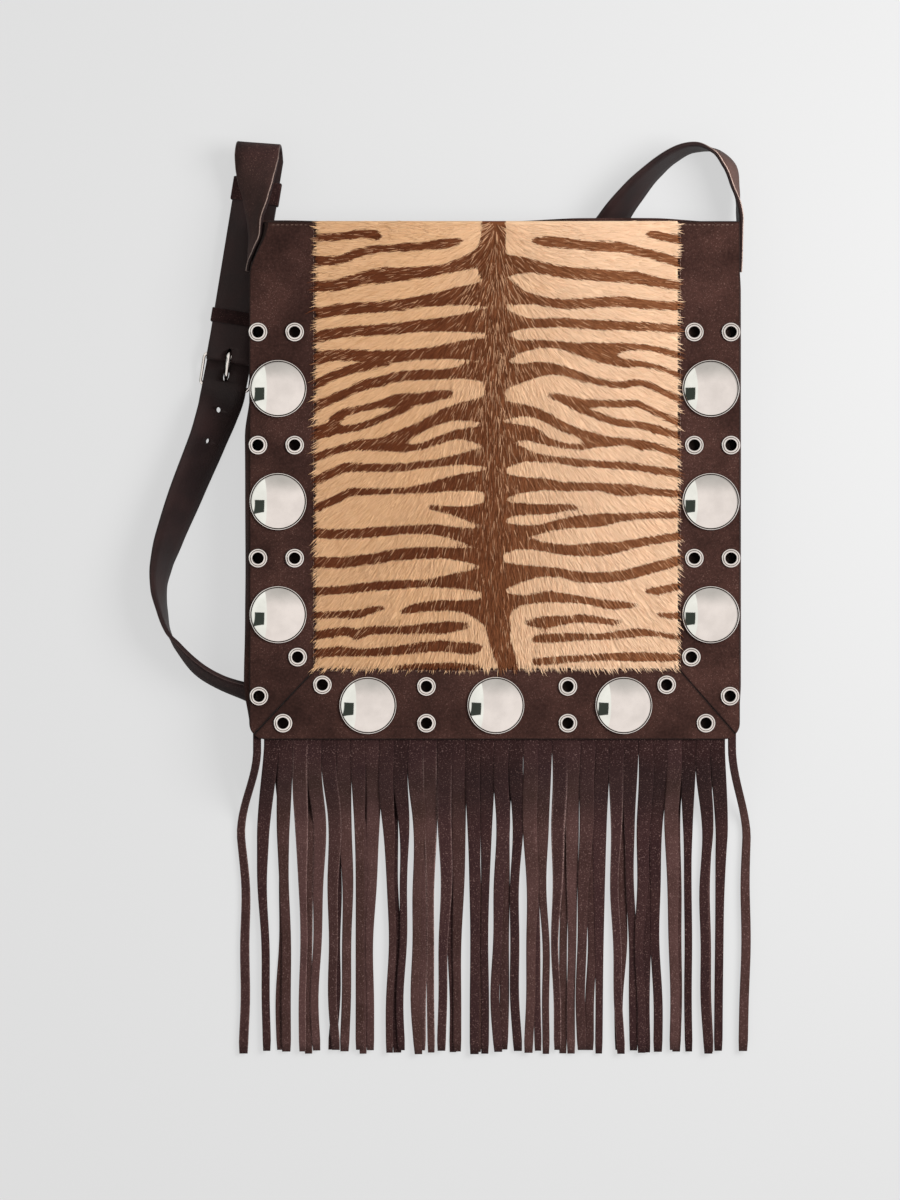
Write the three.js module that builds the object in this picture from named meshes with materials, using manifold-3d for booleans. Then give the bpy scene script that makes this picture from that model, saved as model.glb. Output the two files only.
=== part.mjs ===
// Fringed leather shoulder bag, lying on its back with its strap tucked underneath.
// Millimetres. +Z points up out of the front, +Y from the fringe towards the mouth, +X to the right.
import * as THREE from 'three';
import { mergeVertices } from 'three/addons/utils/BufferGeometryUtils.js';
import Module from 'manifold-3d';

const wasm = await Module();
wasm.setup();

// Bag body
const bodyWidth = 300;
const bodyHeight = 311;
const bodyDepth = 36;
const bodyCentreX = 27.6;
const mouthY = 226.2;
const cornerRadius = 10;
const backRise = 3; // how far the back stands past the front at the mouth
const leatherThickness = 2;
const seamGap = 0.3;
const mitreGap = 0.3;

// Front panel: a hair-on hide framed by three border strips
const leftBorderWidth = 43;
const rightBorderWidth = 40;
const bottomBorderWidth = 42.6;
const hideThickness = 2.8;

// Lining pouch
const liningThickness = 0.8;
const liningEase = 0.8;
const liningDrop = 5.2; // from the front of the bag to the lining behind it

// Upper left corner, which the strap pulls in
const cornerPull = 11;
const cornerPullLength = 33;

// Domed studs and eyelets
const studRadius = 17.4;
const studHeight = 7.2;
const studPostRadius = 2;
const eyeletRadius = 6;
const eyeletBoreRadius = 2.9;
const eyeletBarrelRadius = 3.7;
const fittingClearance = 0.5;
const firstFittingDrop = 66.7; // mouth to the first pair of eyelets
const lastFittingRise = 74.8; // bottom edge to the lowest stud of the sides
const fittingPitch = (bodyHeight - firstFittingDrop - lastFittingRise) / 5;
const studInset = 20.3;
const eyeletInset = 8.2;
const eyeletSpacing = 22;
const outerStudInset = 73.3; // side of the bag to the outer studs of the bottom row
const bottomStudPitch = bodyWidth / 2 - outerStudInset;
const bottomEyeletOffset = bottomStudPitch - 34.3;
const bottomFittingY = 20.4;
const bottomEyeletY = 9.8;

// Fringe: one comb of strands over another
const fringeThickness = 1.2;
const fringeHeader = 3.9; // sewn into the bottom seam
const fringeUncut = 4; // plain edge below the seam
const fringeTipY = -278.5;
const strandWidth = 4.9;
const frontStrands = 34;
const fringeInset = 1.6; // from the side of the bag to the first strand
const outerBows = [13, 7, 4, 1.5]; // how far the strands nearest each side swing out
const fringeDrop = 50;

// Strap
const strapWidth = 27;
const strapThickness = 2.4;
const skivedThickness = 1.5;
const floorGap = 0.1;
const tabLength = 29;
const tabEase = 0.35;
const foldRadius = 7.5;
const foldStartY = mouthY + 40.9;
const creaseRadius = 1.5;
const creaseInset = 63.5; // from the bag's left side to the fold under it
const lowRunRise = 20.7; // from the bag's bottom edge to the strap's lowest run
const holePitch = 22;
const holeRadius = 1.7;

// Buckle, placed by the middle of its heel bar, with the strap running along strapHeading
const buckleOutset = 13.9; // left of the bag's side
const buckleDrop = 79.5; // below the mouth
const strapHeading = -99.3; // degrees from +X
const heelBarZ = 8.2;
const barThickness = 2.2;
const heelBarWidth = 3;
const farBarWidth = 3.5;
const buckleOpening = 15.5;
const buckleSide = 1.9;
const buckleClearance = 0.6;
const buckleTilt = 10.8; // degrees, far bar down
const prongRadius = 0.9;
const turnedBackLength = 38;
const eyeClearance = 0.6;
const tipClearance = 0.7;
const layerGap = 0.5;

// Strap keepers
const keeperWall = 0.8;
const keeperClearance = 0.4;
const upperKeeperLength = 14;
const lowerKeeperLength = 8.5;
const upperKeeperDistance = 102; // from the heel bar
const lowerKeeperDistance = 24;

const bodyLeft = bodyCentreX - bodyWidth / 2;
const bodyRight = bodyCentreX + bodyWidth / 2;
const bodyBottom = mouthY - bodyHeight;
const frontUnderside = bodyDepth - leatherThickness;
const hideLeft = bodyLeft + leftBorderWidth;
const hideRight = bodyRight - rightBorderWidth;
const hideBottom = bodyBottom + bottomBorderWidth;
const buckleX = bodyLeft - buckleOutset;
const buckleY = mouthY - buckleDrop;
const lowRunY = bodyBottom + lowRunRise;

const UP = new THREE.Vector3(0, 0, 1);
const vec = (x, y, z) => new THREE.Vector3(x, y, z);
const radians = THREE.MathUtils.degToRad;
const mix = THREE.MathUtils.lerp;
const smooth = (x) => THREE.MathUtils.smoothstep(x, 0, 1);

// A leather's colour, roughness and metalness
function finish(color, roughness, metalness = 0) {
  return new THREE.MeshStandardMaterial({ color, roughness, metalness });
}
const finishes = {
  suede: () => finish(0x46332d, 0.95),
  hide: () => finish(0xcf9d68, 0.85),
  lining: () => finish(0x2b211d, 0.9),
  metal: () => finish(0xd9d9d6, 0.15, 1),
};

const bag = new THREE.Group();
function addPiece(name, geometry, finishName) {
  const mesh = new THREE.Mesh(geometry, finishes[finishName]());
  mesh.name = name;
  bag.add(mesh);
  return mesh;
}

// Closed mesh geometry to a solid for booleans, and back
function toSolid(geometry) {
  const plain = geometry.clone();
  plain.deleteAttribute('normal');
  plain.deleteAttribute('uv');
  const merged = mergeVertices(plain, 1e-4);
  return new wasm.Manifold(new wasm.Mesh({
    numProp: 3,
    vertProperties: new Float32Array(merged.attributes.position.array),
    triVerts: new Uint32Array(merged.index.array),
  }));
}
function toGeometry(solid) {
  const data = solid.getMesh();
  const geometry = new THREE.BufferGeometry();
  geometry.setAttribute('position', new THREE.BufferAttribute(new Float32Array(data.vertProperties), 3));
  geometry.setIndex(new THREE.BufferAttribute(new Uint32Array(data.triVerts), 1));
  geometry.computeVertexNormals();
  return geometry;
}

// Closed skin over rows of { outer, inner } points; a closed loft joins its last row to its first
function loft(rows, closed = false) {
  const columns = rows[0].length;
  const positions = [];
  for (const row of rows) {
    for (const { outer, inner } of row) positions.push(...outer.toArray(), ...inner.toArray());
  }
  const at = (i, j, side) => ((i % rows.length) * columns + j) * 2 + side;
  const index = [];
  const quad = (a, b, c, d) => index.push(a, b, c, a, c, d);
  const spans = closed ? rows.length : rows.length - 1;
  for (let i = 0; i < spans; i += 1) {
    for (let j = 0; j < columns - 1; j += 1) {
      quad(at(i, j, 0), at(i + 1, j, 0), at(i + 1, j + 1, 0), at(i, j + 1, 0));
      quad(at(i, j, 1), at(i, j + 1, 1), at(i + 1, j + 1, 1), at(i + 1, j, 1));
    }
    const last = columns - 1;
    quad(at(i, 0, 0), at(i, 0, 1), at(i + 1, 0, 1), at(i + 1, 0, 0));
    quad(at(i, last, 0), at(i + 1, last, 0), at(i + 1, last, 1), at(i, last, 1));
  }
  if (!closed) {
    const end = rows.length - 1;
    for (let j = 0; j < columns - 1; j += 1) {
      quad(at(0, j, 0), at(0, j + 1, 0), at(0, j + 1, 1), at(0, j, 1));
      quad(at(end, j, 0), at(end, j, 1), at(end, j + 1, 1), at(end, j + 1, 0));
    }
  }
  if (signedVolume(positions, index) < 0) index.reverse();
  const geometry = new THREE.BufferGeometry();
  geometry.setAttribute('position', new THREE.Float32BufferAttribute(positions, 3));
  geometry.setIndex(index);
  geometry.computeVertexNormals();
  return geometry;
}
function signedVolume(positions, index) {
  const corner = (k) => new THREE.Vector3().fromArray(positions, index[k] * 3);
  let volume = 0;
  for (let k = 0; k < index.length; k += 3) {
    volume += corner(k).dot(corner(k + 1).cross(corner(k + 2))) / 6;
  }
  return volume;
}

// One row of a ribbon: a straight line across, with the leather's thickness about it
function ribbonRow(centre, across, normal, width, thickness) {
  return [-0.5, 0.5].map((side) => {
    const point = centre.clone().addScaledVector(across, side * width);
    return {
      outer: point.clone().addScaledVector(normal, thickness / 2),
      inner: point.clone().addScaledVector(normal, -thickness / 2),
    };
  });
}

// A ribbon along stations of { at, lean, width }. Lean turns it about its own run: at 0 it lies with
// its inner face up, at 90 it stands on edge, at 180 it lies with its outer face up.
function ribbonRows(stations, stepsPerSpan = 2) {
  const route = new THREE.CatmullRomCurve3(stations.map((s) => s.at), false, 'centripetal');
  const profile = new THREE.CatmullRomCurve3(
    stations.map((s) => vec(s.lean, s.width ?? strapWidth, 0)), false, 'catmullrom', 0.3);
  const count = (stations.length - 1) * stepsPerSpan;
  const rows = [];
  for (let i = 0; i <= count; i += 1) {
    const t = i / count;
    const heading = route.getTangent(t);
    const level = UP.clone().cross(heading).normalize();
    const upright = heading.clone().cross(level);
    const { x: lean, y: width } = profile.getPoint(t);
    const across = level.multiplyScalar(Math.cos(radians(lean)))
      .addScaledVector(upright, -Math.sin(radians(lean)));
    const normal = heading.clone().cross(across).negate();
    const row = ribbonRow(route.getPoint(t), across, normal, width, strapThickness);
    const corners = row.flatMap(({ outer, inner }) => [outer, inner]);
    const sunk = Math.max(floorGap - Math.min(...corners.map((corner) => corner.z)), 0);
    corners.forEach((corner) => corner.addScaledVector(UP, sunk));
    rows.push(row);
  }
  return rows;
}

// Height of a strap's middle when its lower edge rests on the floor
function restHeight(lean, width = strapWidth) {
  const halfRise = Math.abs(Math.sin(radians(lean))) * width / 2;
  return floorGap + halfRise + Math.abs(Math.cos(radians(lean))) * strapThickness / 2;
}
const resting = (x, y, lean) => ({ at: vec(x, y, restHeight(lean)), lean });

function plate(shape, bottom, top, curveSegments = 6) {
  const geometry = new THREE.ExtrudeGeometry(shape, { depth: top - bottom, bevelEnabled: false, curveSegments });
  return geometry.translate(0, 0, bottom);
}

// Frame of the straight stretch of strap at the buckle: along, across and up from the heel bar
const along = vec(Math.cos(radians(strapHeading)), Math.sin(radians(strapHeading)), 0);
const acrossStrap = vec(-along.y, along.x, 0);
const atBuckle = (distance, z, side = 0) => vec(buckleX, buckleY, z)
  .addScaledVector(along, distance)
  .addScaledVector(acrossStrap, side);

// Heights in the stack of straps at the buckle
const mainLayerZ = heelBarZ + floorGap;
const eyeRise = barThickness / 2 + eyeClearance + skivedThickness / 2;
const turnedLayerZ = heelBarZ - eyeRise;
const tipZ = turnedLayerZ - skivedThickness / 2 - tipClearance - strapThickness / 2;
const raisedTipZ = mainLayerZ - strapThickness - layerGap;
const eyeReach = heelBarWidth / 2 + eyeClearance + skivedThickness / 2;
const farBarDistance = (heelBarWidth + farBarWidth) / 2 + buckleOpening;
const farBarZ = heelBarZ - farBarDistance * Math.sin(radians(buckleTilt));
const overFarBarZ = farBarZ + barThickness / 2 + strapThickness / 2 + layerGap;

// Long strap: from its pointed tip under the short strap, through the buckle and round on its edge
const prongHoleDistance = 11.7;
const tipRun = [
  { at: atBuckle(-118, raisedTipZ), lean: 0, width: 10 },
  { at: atBuckle(-112, raisedTipZ), lean: 0, width: 21 },
  { at: atBuckle(-104, raisedTipZ), lean: 0 },
  { at: atBuckle(-62, raisedTipZ), lean: 0 },
  { at: atBuckle(-turnedBackLength - 3, tipZ), lean: 0 },
  { at: atBuckle(-turnedBackLength + 5, tipZ), lean: 0 },
  { at: atBuckle(-20, tipZ), lean: 0 },
  { at: atBuckle(4, tipZ), lean: 0 },
  { at: atBuckle(prongHoleDistance, mix(tipZ, overFarBarZ, 0.55)), lean: 0 },
  { at: atBuckle(farBarDistance - farBarWidth / 2, overFarBarZ + 0.15), lean: 0 },
  { at: atBuckle(farBarDistance + farBarWidth, overFarBarZ + 0.3), lean: 5 },
];

// Left of the bag the strap hangs down in a loop, on its edge. Drops are below the buckle, and the
// loop lengthens with the bag.
const loopDrop = 210.8;
const loopStretch = (buckleY - lowRunY) / loopDrop;
const besideBag = (outset, drop, lean) => resting(bodyLeft - outset, buckleY - drop * loopStretch, lean);
const leftBend = [
  { at: vec(bodyLeft - 20.8, buckleY - 34.2 * loopStretch, 9.4), lean: 27 },
  besideBag(26.9, 51.2, 39),
  besideBag(39, 81.1, 46),
  besideBag(50.3, 111.5, 58),
  besideBag(54.8, 127.3, 68),
  besideBag(56.2, 140.6, 77),
  besideBag(53.9, 155.2, 85),
  besideBag(50.5, 167.3, 92),
  besideBag(44.4, 176.3, 100),
  besideBag(32, 189.8, 107),
  besideBag(18.6, 197.8, 108),
  besideBag(2.9, 203.5, 112),
  besideBag(-9.2, 207.2, 128),
  besideBag(-20.9, 210, 156),
  besideBag(-30.4, loopDrop, 178),
  besideBag(-36.4, loopDrop, 180),
];

// The crease under the bag, where the strap is folded over to head for the upper right
const crease = vec(bodyLeft + creaseInset, lowRunY, floorGap + strapThickness / 2);
const emergence = vec(bodyRight - 74.7, mouthY + 4, 0);
const inHeading = vec(1, 0, 0);
const outHeading = emergence.clone().sub(crease).setZ(0).normalize();
const creaseLine = inHeading.clone().add(outHeading).normalize();
const creaseForward = vec(creaseLine.y, -creaseLine.x, 0);
const creaseLead = 25;
const creaseTail = 36;
function creasePoint(distance, side) {
  const flat = inHeading.clone().multiplyScalar(distance).add(vec(0, -side, 0));
  const across = flat.dot(creaseForward);
  const angle = THREE.MathUtils.clamp(across / creaseRadius, 0, Math.PI);
  const beyond = Math.max(across - Math.PI * creaseRadius, 0);
  const forward = Math.min(across, 0) + creaseRadius * Math.sin(angle) - beyond;
  const point = crease.clone()
    .addScaledVector(creaseLine, flat.dot(creaseLine))
    .addScaledVector(creaseForward, forward)
    .addScaledVector(UP, creaseRadius * (1 - Math.cos(angle)));
  const normal = UP.clone().multiplyScalar(Math.cos(angle)).addScaledVector(creaseForward, -Math.sin(angle));
  return { point, normal };
}
function creaseRows() {
  const sides = [-strapWidth / 2, strapWidth / 2];
  const row = (distanceAt) => sides.map((side) => {
    const { point, normal } = creasePoint(distanceAt(side), side);
    return {
      outer: point.clone().addScaledVector(normal, strapThickness / 2),
      inner: point.clone().addScaledVector(normal, -strapThickness / 2),
    };
  });
  const bends = Array.from({ length: 9 }, (_, k) => Math.PI * creaseRadius * k / 8);
  return [
    row(() => -creaseLead),
    ...bends.map((across) => row((side) => (across + side * creaseForward.y) / creaseForward.x)),
    row(() => creaseTail),
  ];
}
const creaseExit = (distance, height) => crease.clone()
  .addScaledVector(creaseForward, Math.PI * creaseRadius)
  .addScaledVector(outHeading, distance)
  .addScaledVector(UP, height);
const foldedHeight = 2 * creaseRadius;

// From the crease, under the bag, out at the mouth and round the arch on edge to the right side
const rightTabX = bodyRight + seamGap + strapThickness / 2;
const rightTabZ = (leatherThickness + frontUnderside) / 2;
const atMouth = (inset, rise, lean) => resting(bodyRight - inset, mouthY + rise, lean);
const rightRun = [
  { at: creaseExit(creaseTail + 2, foldedHeight), lean: 0 },
  { at: creaseExit(creaseTail + 8, foldedHeight - 0.1), lean: 0 },
  { at: creaseExit(creaseTail + 40, 0), lean: 0 },
  { at: creaseExit(150, 0), lean: 0 },
  atMouth(118.6, -77.2, 0),
  atMouth(99.6, -42.2, -14),
  atMouth(86.1, -16.7, -34),
  resting(emergence.x, emergence.y, -53),
  atMouth(63.2, 19.4, -62),
  atMouth(50.4, 33, -72),
  atMouth(37.6, 42.8, -79),
  atMouth(25.1, 47.2, -88),
  { at: vec(bodyRight - 12.6, mouthY + 44.4, 14.8), lean: -102 },
  { at: vec(bodyRight - 4.8, mouthY + 35.6, 16.2), lean: -110 },
  { at: vec(bodyRight - 1.6, mouthY + 23, 17.2), lean: -103 },
  { at: vec(bodyRight + 0.8, mouthY + 9.8, rightTabZ), lean: -92 },
  { at: vec(rightTabX, mouthY + 3, rightTabZ), lean: -90, width: 25 },
  { at: vec(rightTabX, mouthY - 3, rightTabZ), lean: -90, width: 22 },
  { at: vec(rightTabX, mouthY - tabLength * 0.6, rightTabZ), lean: -90, width: 15 },
  { at: vec(rightTabX, mouthY - tabLength * 0.92, rightTabZ), lean: -90, width: 8 },
  { at: vec(rightTabX, mouthY - tabLength, rightTabZ), lean: -90, width: 3 },
];

const longRows = [...ribbonRows([...tipRun, ...leftBend]), ...creaseRows(), ...ribbonRows(rightRun)];

function punch(rowAt, length, width) {
  const tool = new THREE.CylinderGeometry(1, 1, 4 * strapThickness, 12);
  tool.rotateX(Math.PI / 2);
  tool.scale(width, length, 1);
  const slope = rowAt.slope;
  tool.rotateX(slope);
  tool.rotateZ(Math.atan2(rowAt.heading.y, rowAt.heading.x) - Math.PI / 2);
  return toSolid(tool.translate(rowAt.at.x, rowAt.at.y, rowAt.at.z));
}

// Middle of the long strap at a distance from the heel bar
function strapAt(distance) {
  const target = atBuckle(distance, 0);
  const middles = longRows.map((row) => row[0].outer.clone().add(row[1].inner).multiplyScalar(0.5));
  const flatDistance = (p) => Math.hypot(p.x - target.x, p.y - target.y);
  const best = middles.reduce((k, p, i) => (flatDistance(p) < flatDistance(middles[k]) ? i : k), 0);
  const heading = middles[best + 1].clone().sub(middles[best - 1]).normalize();
  return { at: middles[best], heading, slope: Math.asin(heading.z) };
}

let longStrap = toSolid(loft(longRows));
for (let k = -2; k <= 2; k += 1) {
  const worn = k === 0;
  const place = strapAt(prongHoleDistance + k * holePitch);
  longStrap = longStrap.subtract(punch(place, worn ? holeRadius * 2.5 : holeRadius, holeRadius));
}
addPiece('long_strap', toGeometry(longStrap), 'suede');

// Short strap: pointed tab on the left side, a twist to lie flat, the fold, and back to the buckle eye
const pullAt = (y) => cornerPull * smooth((y - mouthY + cornerPullLength) / cornerPullLength);
const leftTabZ = 23.5;
const sideBottomZ = 14;
function leftTabStation(y, width, standOff = 0) {
  const pull = pullAt(y);
  const rise = frontUnderside - sideBottomZ;
  const slant = Math.atan2(pull, rise);
  const offset = seamGap + tabEase + standOff + strapThickness / 2;
  const sideX = bodyLeft + pull * (leftTabZ - sideBottomZ) / rise;
  const at = vec(sideX - offset * Math.cos(slant), y, leftTabZ + offset * Math.sin(slant));
  return { at, lean: 270 - THREE.MathUtils.radToDeg(slant), width };
}
const foldTopZ = mainLayerZ + 2 * foldRadius;
const backRunFoldDistance = (foldStartY - buckleY) / along.y;
const tabRun = [
  leftTabStation(mouthY - tabLength, 3),
  leftTabStation(mouthY - tabLength * 0.86, 8.5),
  leftTabStation(mouthY - tabLength * 0.55, 15),
  leftTabStation(mouthY - tabLength * 0.26, 18),
  leftTabStation(mouthY + 0.5, 19, 0.8),
  { at: vec(bodyLeft + 3.6, mouthY + 13.8, leftTabZ - 0.1), lean: 228, width: 24 },
  { at: vec(bodyLeft + 3.5, mouthY + 26.3, leftTabZ - 0.1), lean: 213 },
  { at: vec(bodyLeft + 3.6, mouthY + 34.8, leftTabZ - 0.2), lean: 197 },
  { at: vec(bodyLeft + 3.9, foldStartY, foldTopZ), lean: 182 },
];

// Rows where the strap's face is given outright: round the fold, along the back run and round the eye
function shortStrapRows() {
  const rows = ribbonRows(tabRun, 3);
  const foldEnd = atBuckle(backRunFoldDistance, mainLayerZ);
  const foldStart = tabRun.at(-1).at;
  for (let k = 1; k <= 8; k += 1) {
    const angle = Math.PI * k / 8;
    const share = k / 8;
    const across = vec(1, 0, 0).lerp(acrossStrap, share).normalize();
    const centre = foldStart.clone().lerp(foldEnd, share);
    centre.y = foldStartY + foldRadius * Math.sin(angle);
    centre.z = mainLayerZ + foldRadius * (1 + Math.cos(angle));
    const normal = vec(0, Math.sin(angle), Math.cos(angle));
    normal.addScaledVector(across, -normal.dot(across)).normalize();
    rows.push(ribbonRow(centre, across, normal, strapWidth, strapThickness));
  }
  const down = UP.clone().negate();
  const backRun = [
    [backRunFoldDistance * 0.66, mainLayerZ, strapThickness],
    [backRunFoldDistance * 0.33, mainLayerZ, strapThickness],
    [-12, mainLayerZ, strapThickness],
    [-6, heelBarZ + eyeRise * 0.62, mix(strapThickness, skivedThickness, 0.6)],
    [0, heelBarZ + eyeRise, skivedThickness],
  ];
  for (const [distance, z, thickness] of backRun) {
    rows.push(ribbonRow(atBuckle(distance, z), acrossStrap, down, strapWidth, thickness));
  }
  for (let k = 1; k <= 5; k += 1) {
    const angle = Math.PI * k / 6;
    const centre = atBuckle(eyeReach * Math.sin(angle), heelBarZ + eyeRise * Math.cos(angle));
    const normal = UP.clone().multiplyScalar(-Math.cos(angle)).addScaledVector(along, -Math.sin(angle));
    rows.push(ribbonRow(centre, acrossStrap, normal, strapWidth, skivedThickness));
  }
  for (const distance of [0, -6, -turnedBackLength]) {
    rows.push(ribbonRow(atBuckle(distance, turnedLayerZ), acrossStrap, UP, strapWidth, skivedThickness));
  }
  return rows;
}
const shortRows = shortStrapRows();
const slotLength = 9.2;
const slot = new THREE.BoxGeometry(2 * prongRadius + 1.6, slotLength, 4 * eyeRise);
slot.rotateZ(radians(strapHeading - 90));
const slotAt = atBuckle(0, heelBarZ);
slot.translate(slotAt.x, slotAt.y, slotAt.z);
addPiece('short_strap', toGeometry(toSolid(loft(shortRows)).subtract(toSolid(slot))), 'suede');

// Keepers: closed leather loops round the stack of straps
function keeper(name, length, distance, bottom, top) {
  const halfSpan = strapWidth / 2 + keeperClearance + keeperWall / 2;
  const low = bottom - keeperClearance + 0.1 - keeperWall / 2;
  const high = top + keeperClearance - 0.1 + keeperWall / 2;
  const bend = 0.8;
  const rows = [];
  const corners = [[1, 1, 0], [-1, 1, 90], [-1, -1, 180], [1, -1, 270]];
  for (const [sideX, sideZ, start] of corners) {
    for (let k = 0; k <= 2; k += 1) {
      const angle = radians(start + 45 * k);
      const side = sideX * (halfSpan - bend) + bend * Math.cos(angle);
      const z = (sideZ > 0 ? high - bend : low + bend) + bend * Math.sin(angle);
      const normal = acrossStrap.clone().multiplyScalar(Math.cos(angle)).addScaledVector(UP, Math.sin(angle));
      rows.push(ribbonRow(atBuckle(-distance, z, side), along, normal, length, keeperWall));
    }
  }
  addPiece(name, loft(rows, true), 'suede');
}
const mainTop = mainLayerZ + strapThickness / 2;
keeper('upper_keeper', upperKeeperLength, upperKeeperDistance, raisedTipZ - strapThickness / 2, mainTop);
keeper('lower_keeper', lowerKeeperLength, lowerKeeperDistance, tipZ - strapThickness / 2, mainTop);

// Buckle frame: a flat cast ring whose heel bar lies in the strap's eye
function buckleFrame() {
  const bevel = 0.5;
  const halfWidth = strapWidth / 2 + buckleClearance + buckleSide;
  const heel = -heelBarWidth / 2;
  const far = farBarDistance + farBarWidth / 2;
  const ring = new THREE.Shape();
  roundedRectangle(ring, -halfWidth, heel, halfWidth, far, 4, bevel);
  const opening = new THREE.Path();
  roundedRectangle(opening, -halfWidth + buckleSide, -heel, halfWidth - buckleSide, far - farBarWidth, 0.8, -bevel);
  ring.holes.push(opening);
  const geometry = new THREE.ExtrudeGeometry(ring, {
    depth: barThickness - 2 * bevel, bevelThickness: bevel, bevelSize: bevel, bevelSegments: 1, curveSegments: 4,
  });
  geometry.translate(0, 0, bevel - barThickness / 2);
  return geometry;
}
function roundedRectangle(path, left, bottom, right, top, radius, inset) {
  const [l, b, r, t] = [left + inset, bottom + inset, right - inset, top - inset];
  const quarter = Math.PI / 2;
  path.moveTo(l + radius, b);
  path.absarc(r - radius, b + radius, radius, -quarter, 0, false);
  path.absarc(r - radius, t - radius, radius, 0, quarter, false);
  path.absarc(l + radius, t - radius, radius, quarter, 2 * quarter, false);
  path.absarc(l + radius, b + radius, radius, 2 * quarter, 3 * quarter, false);
}
const frameMesh = addPiece('buckle_frame', buckleFrame(), 'metal');
frameMesh.position.copy(atBuckle(0, heelBarZ));
frameMesh.rotation.set(-radians(buckleTilt), 0, radians(strapHeading - 90), 'ZYX');

// Buckle prong: a wire curled round the heel bar, with its tip under the far bar
const curlReach = heelBarWidth / 2 + eyeClearance + prongRadius;
const curlRise = barThickness / 2 + eyeClearance + prongRadius;
const prongTipZ = farBarZ - barThickness / 2 - seamGap - prongRadius - 0.1;
const prongPoints = [];
for (const degrees of [285, 260, 225, 190, 155, 120, 90]) {
  const angle = radians(degrees);
  prongPoints.push(atBuckle(curlReach * Math.cos(angle), heelBarZ + curlRise * Math.sin(angle)));
}
prongPoints.push(atBuckle(curlReach, heelBarZ + curlRise * 0.82));
prongPoints.push(atBuckle(prongHoleDistance, mix(heelBarZ + curlRise, prongTipZ, 0.66)));
for (const reach of [-0.62, 0, 0.5]) {
  const drop = farBarWidth * reach * Math.tan(radians(buckleTilt));
  prongPoints.push(atBuckle(farBarDistance + farBarWidth * reach, prongTipZ - drop));
}
const prongSection = new THREE.Shape().absarc(0, 0, prongRadius, 0, 2 * Math.PI);
addPiece('buckle_prong', new THREE.ExtrudeGeometry(prongSection, {
  steps: 24, curveSegments: 4, extrudePath: new THREE.CatmullRomCurve3(prongPoints, false, 'centripetal'),
}), 'metal');

// Where the strap props the soft back of the bag up off the floor
const propMargin = 14;
const propFade = 44;
const propClearance = 0.7;
function propsFrom(rows) {
  return rows.map((row) => {
    const points = row.flatMap(({ outer, inner }) => [outer, inner]);
    const [a, b] = [row[0].outer, row.at(-1).outer];
    const top = Math.max(...points.map((p) => p.z));
    return { x: (a.x + b.x) / 2, y: (a.y + b.y) / 2, top, reach: Math.hypot(a.x - b.x, a.y - b.y) / 2 };
  });
}
const isUnderBag = ({ x, y, top }) => x > bodyLeft - 22 && x < bodyRight && y < mouthY + 12 && top < 30;
const props = propsFrom([...longRows, ...shortRows.slice(24)]).filter(isUnderBag);
const keeperTop = mainTop + keeperClearance + keeperWall;
function backHeight(x, y) {
  let height = 0;
  for (const prop of props) {
    const distance = Math.hypot(x - prop.x, y - prop.y) - prop.reach - propMargin;
    const share = 1 - smooth(distance / propFade);
    const needed = (Math.abs(prop.top - mainTop) < 0.5 ? keeperTop : prop.top) + propClearance;
    height = Math.max(height, needed * share);
  }
  return height;
}

// Grid lines crowded towards both ends, where the back is bent the most
function gridLines(low, high, spans) {
  const lines = [];
  for (let i = 0; i <= spans; i += 1) {
    lines.push(mix(low, high, (1 - Math.cos(Math.PI * i / spans)) / 2));
  }
  return lines;
}
const gridX = gridLines(bodyLeft - 1, bodyRight + 1, 15);
const gridY = gridLines(bodyBottom - 1, mouthY + backRise + 1, 16);
const gridHeights = gridX.map((x) => gridY.map((y) => backHeight(x, y)));
function heightSolid(bottomOf, topOf) {
  const rows = gridX.map((x, i) => gridY.map((y, j) => ({
    outer: vec(x, y, topOf(gridHeights[i][j])),
    inner: vec(x, y, bottomOf(gridHeights[i][j])),
  })));
  return toSolid(loft(rows));
}
const belowGround = -20;
const layGap = 0.4;
const underBack = (gap) => heightSolid(() => belowGround, (height) => height + leatherThickness + gap);

// Outline of the bag seen from the front, inset from its edge and open or closed at the mouth
function outlinePoints(inset, top) {
  const radius = cornerRadius - inset;
  const [left, right, bottom] = [bodyLeft + inset, bodyRight - inset, bodyBottom + inset];
  const path = new THREE.Path();
  path.moveTo(left, top);
  for (let k = 1; k <= 8; k += 1) path.lineTo(left, mouthY - cornerPullLength * k / 8);
  path.lineTo(left, bottom + radius);
  path.absarc(left + radius, bottom + radius, radius, Math.PI, 1.5 * Math.PI, false);
  path.lineTo(right - radius, bottom);
  path.absarc(right - radius, bottom + radius, radius, 1.5 * Math.PI, 2 * Math.PI, false);
  path.lineTo(right, top);
  return path.getPoints(5);
}
const bodyPrism = (inset, top, low, high) => toSolid(plate(new THREE.Shape(outlinePoints(inset, top)), low, high));

// The same with its upper left corner pulled in, more towards the front
function pulledPrism(inset, top, high) {
  const shape = new THREE.Shape(outlinePoints(inset, top));
  const upper = plate(shape, sideBottomZ, high);
  const positions = upper.attributes.position;
  for (let i = 0; i < positions.count; i += 1) {
    const rise = (positions.getZ(i) - sideBottomZ) / (frontUnderside - sideBottomZ);
    const pull = positions.getX(i) < bodyCentreX ? pullAt(positions.getY(i)) * rise : 0;
    positions.setX(i, positions.getX(i) + pull);
  }
  return toSolid(plate(shape, belowGround, sideBottomZ)).add(toSolid(upper));
}

addPiece('back_panel', toGeometry(
  heightSolid((height) => height, (height) => height + leatherThickness)
    .intersect(bodyPrism(0, mouthY + backRise, belowGround, bodyDepth))), 'suede');

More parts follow.
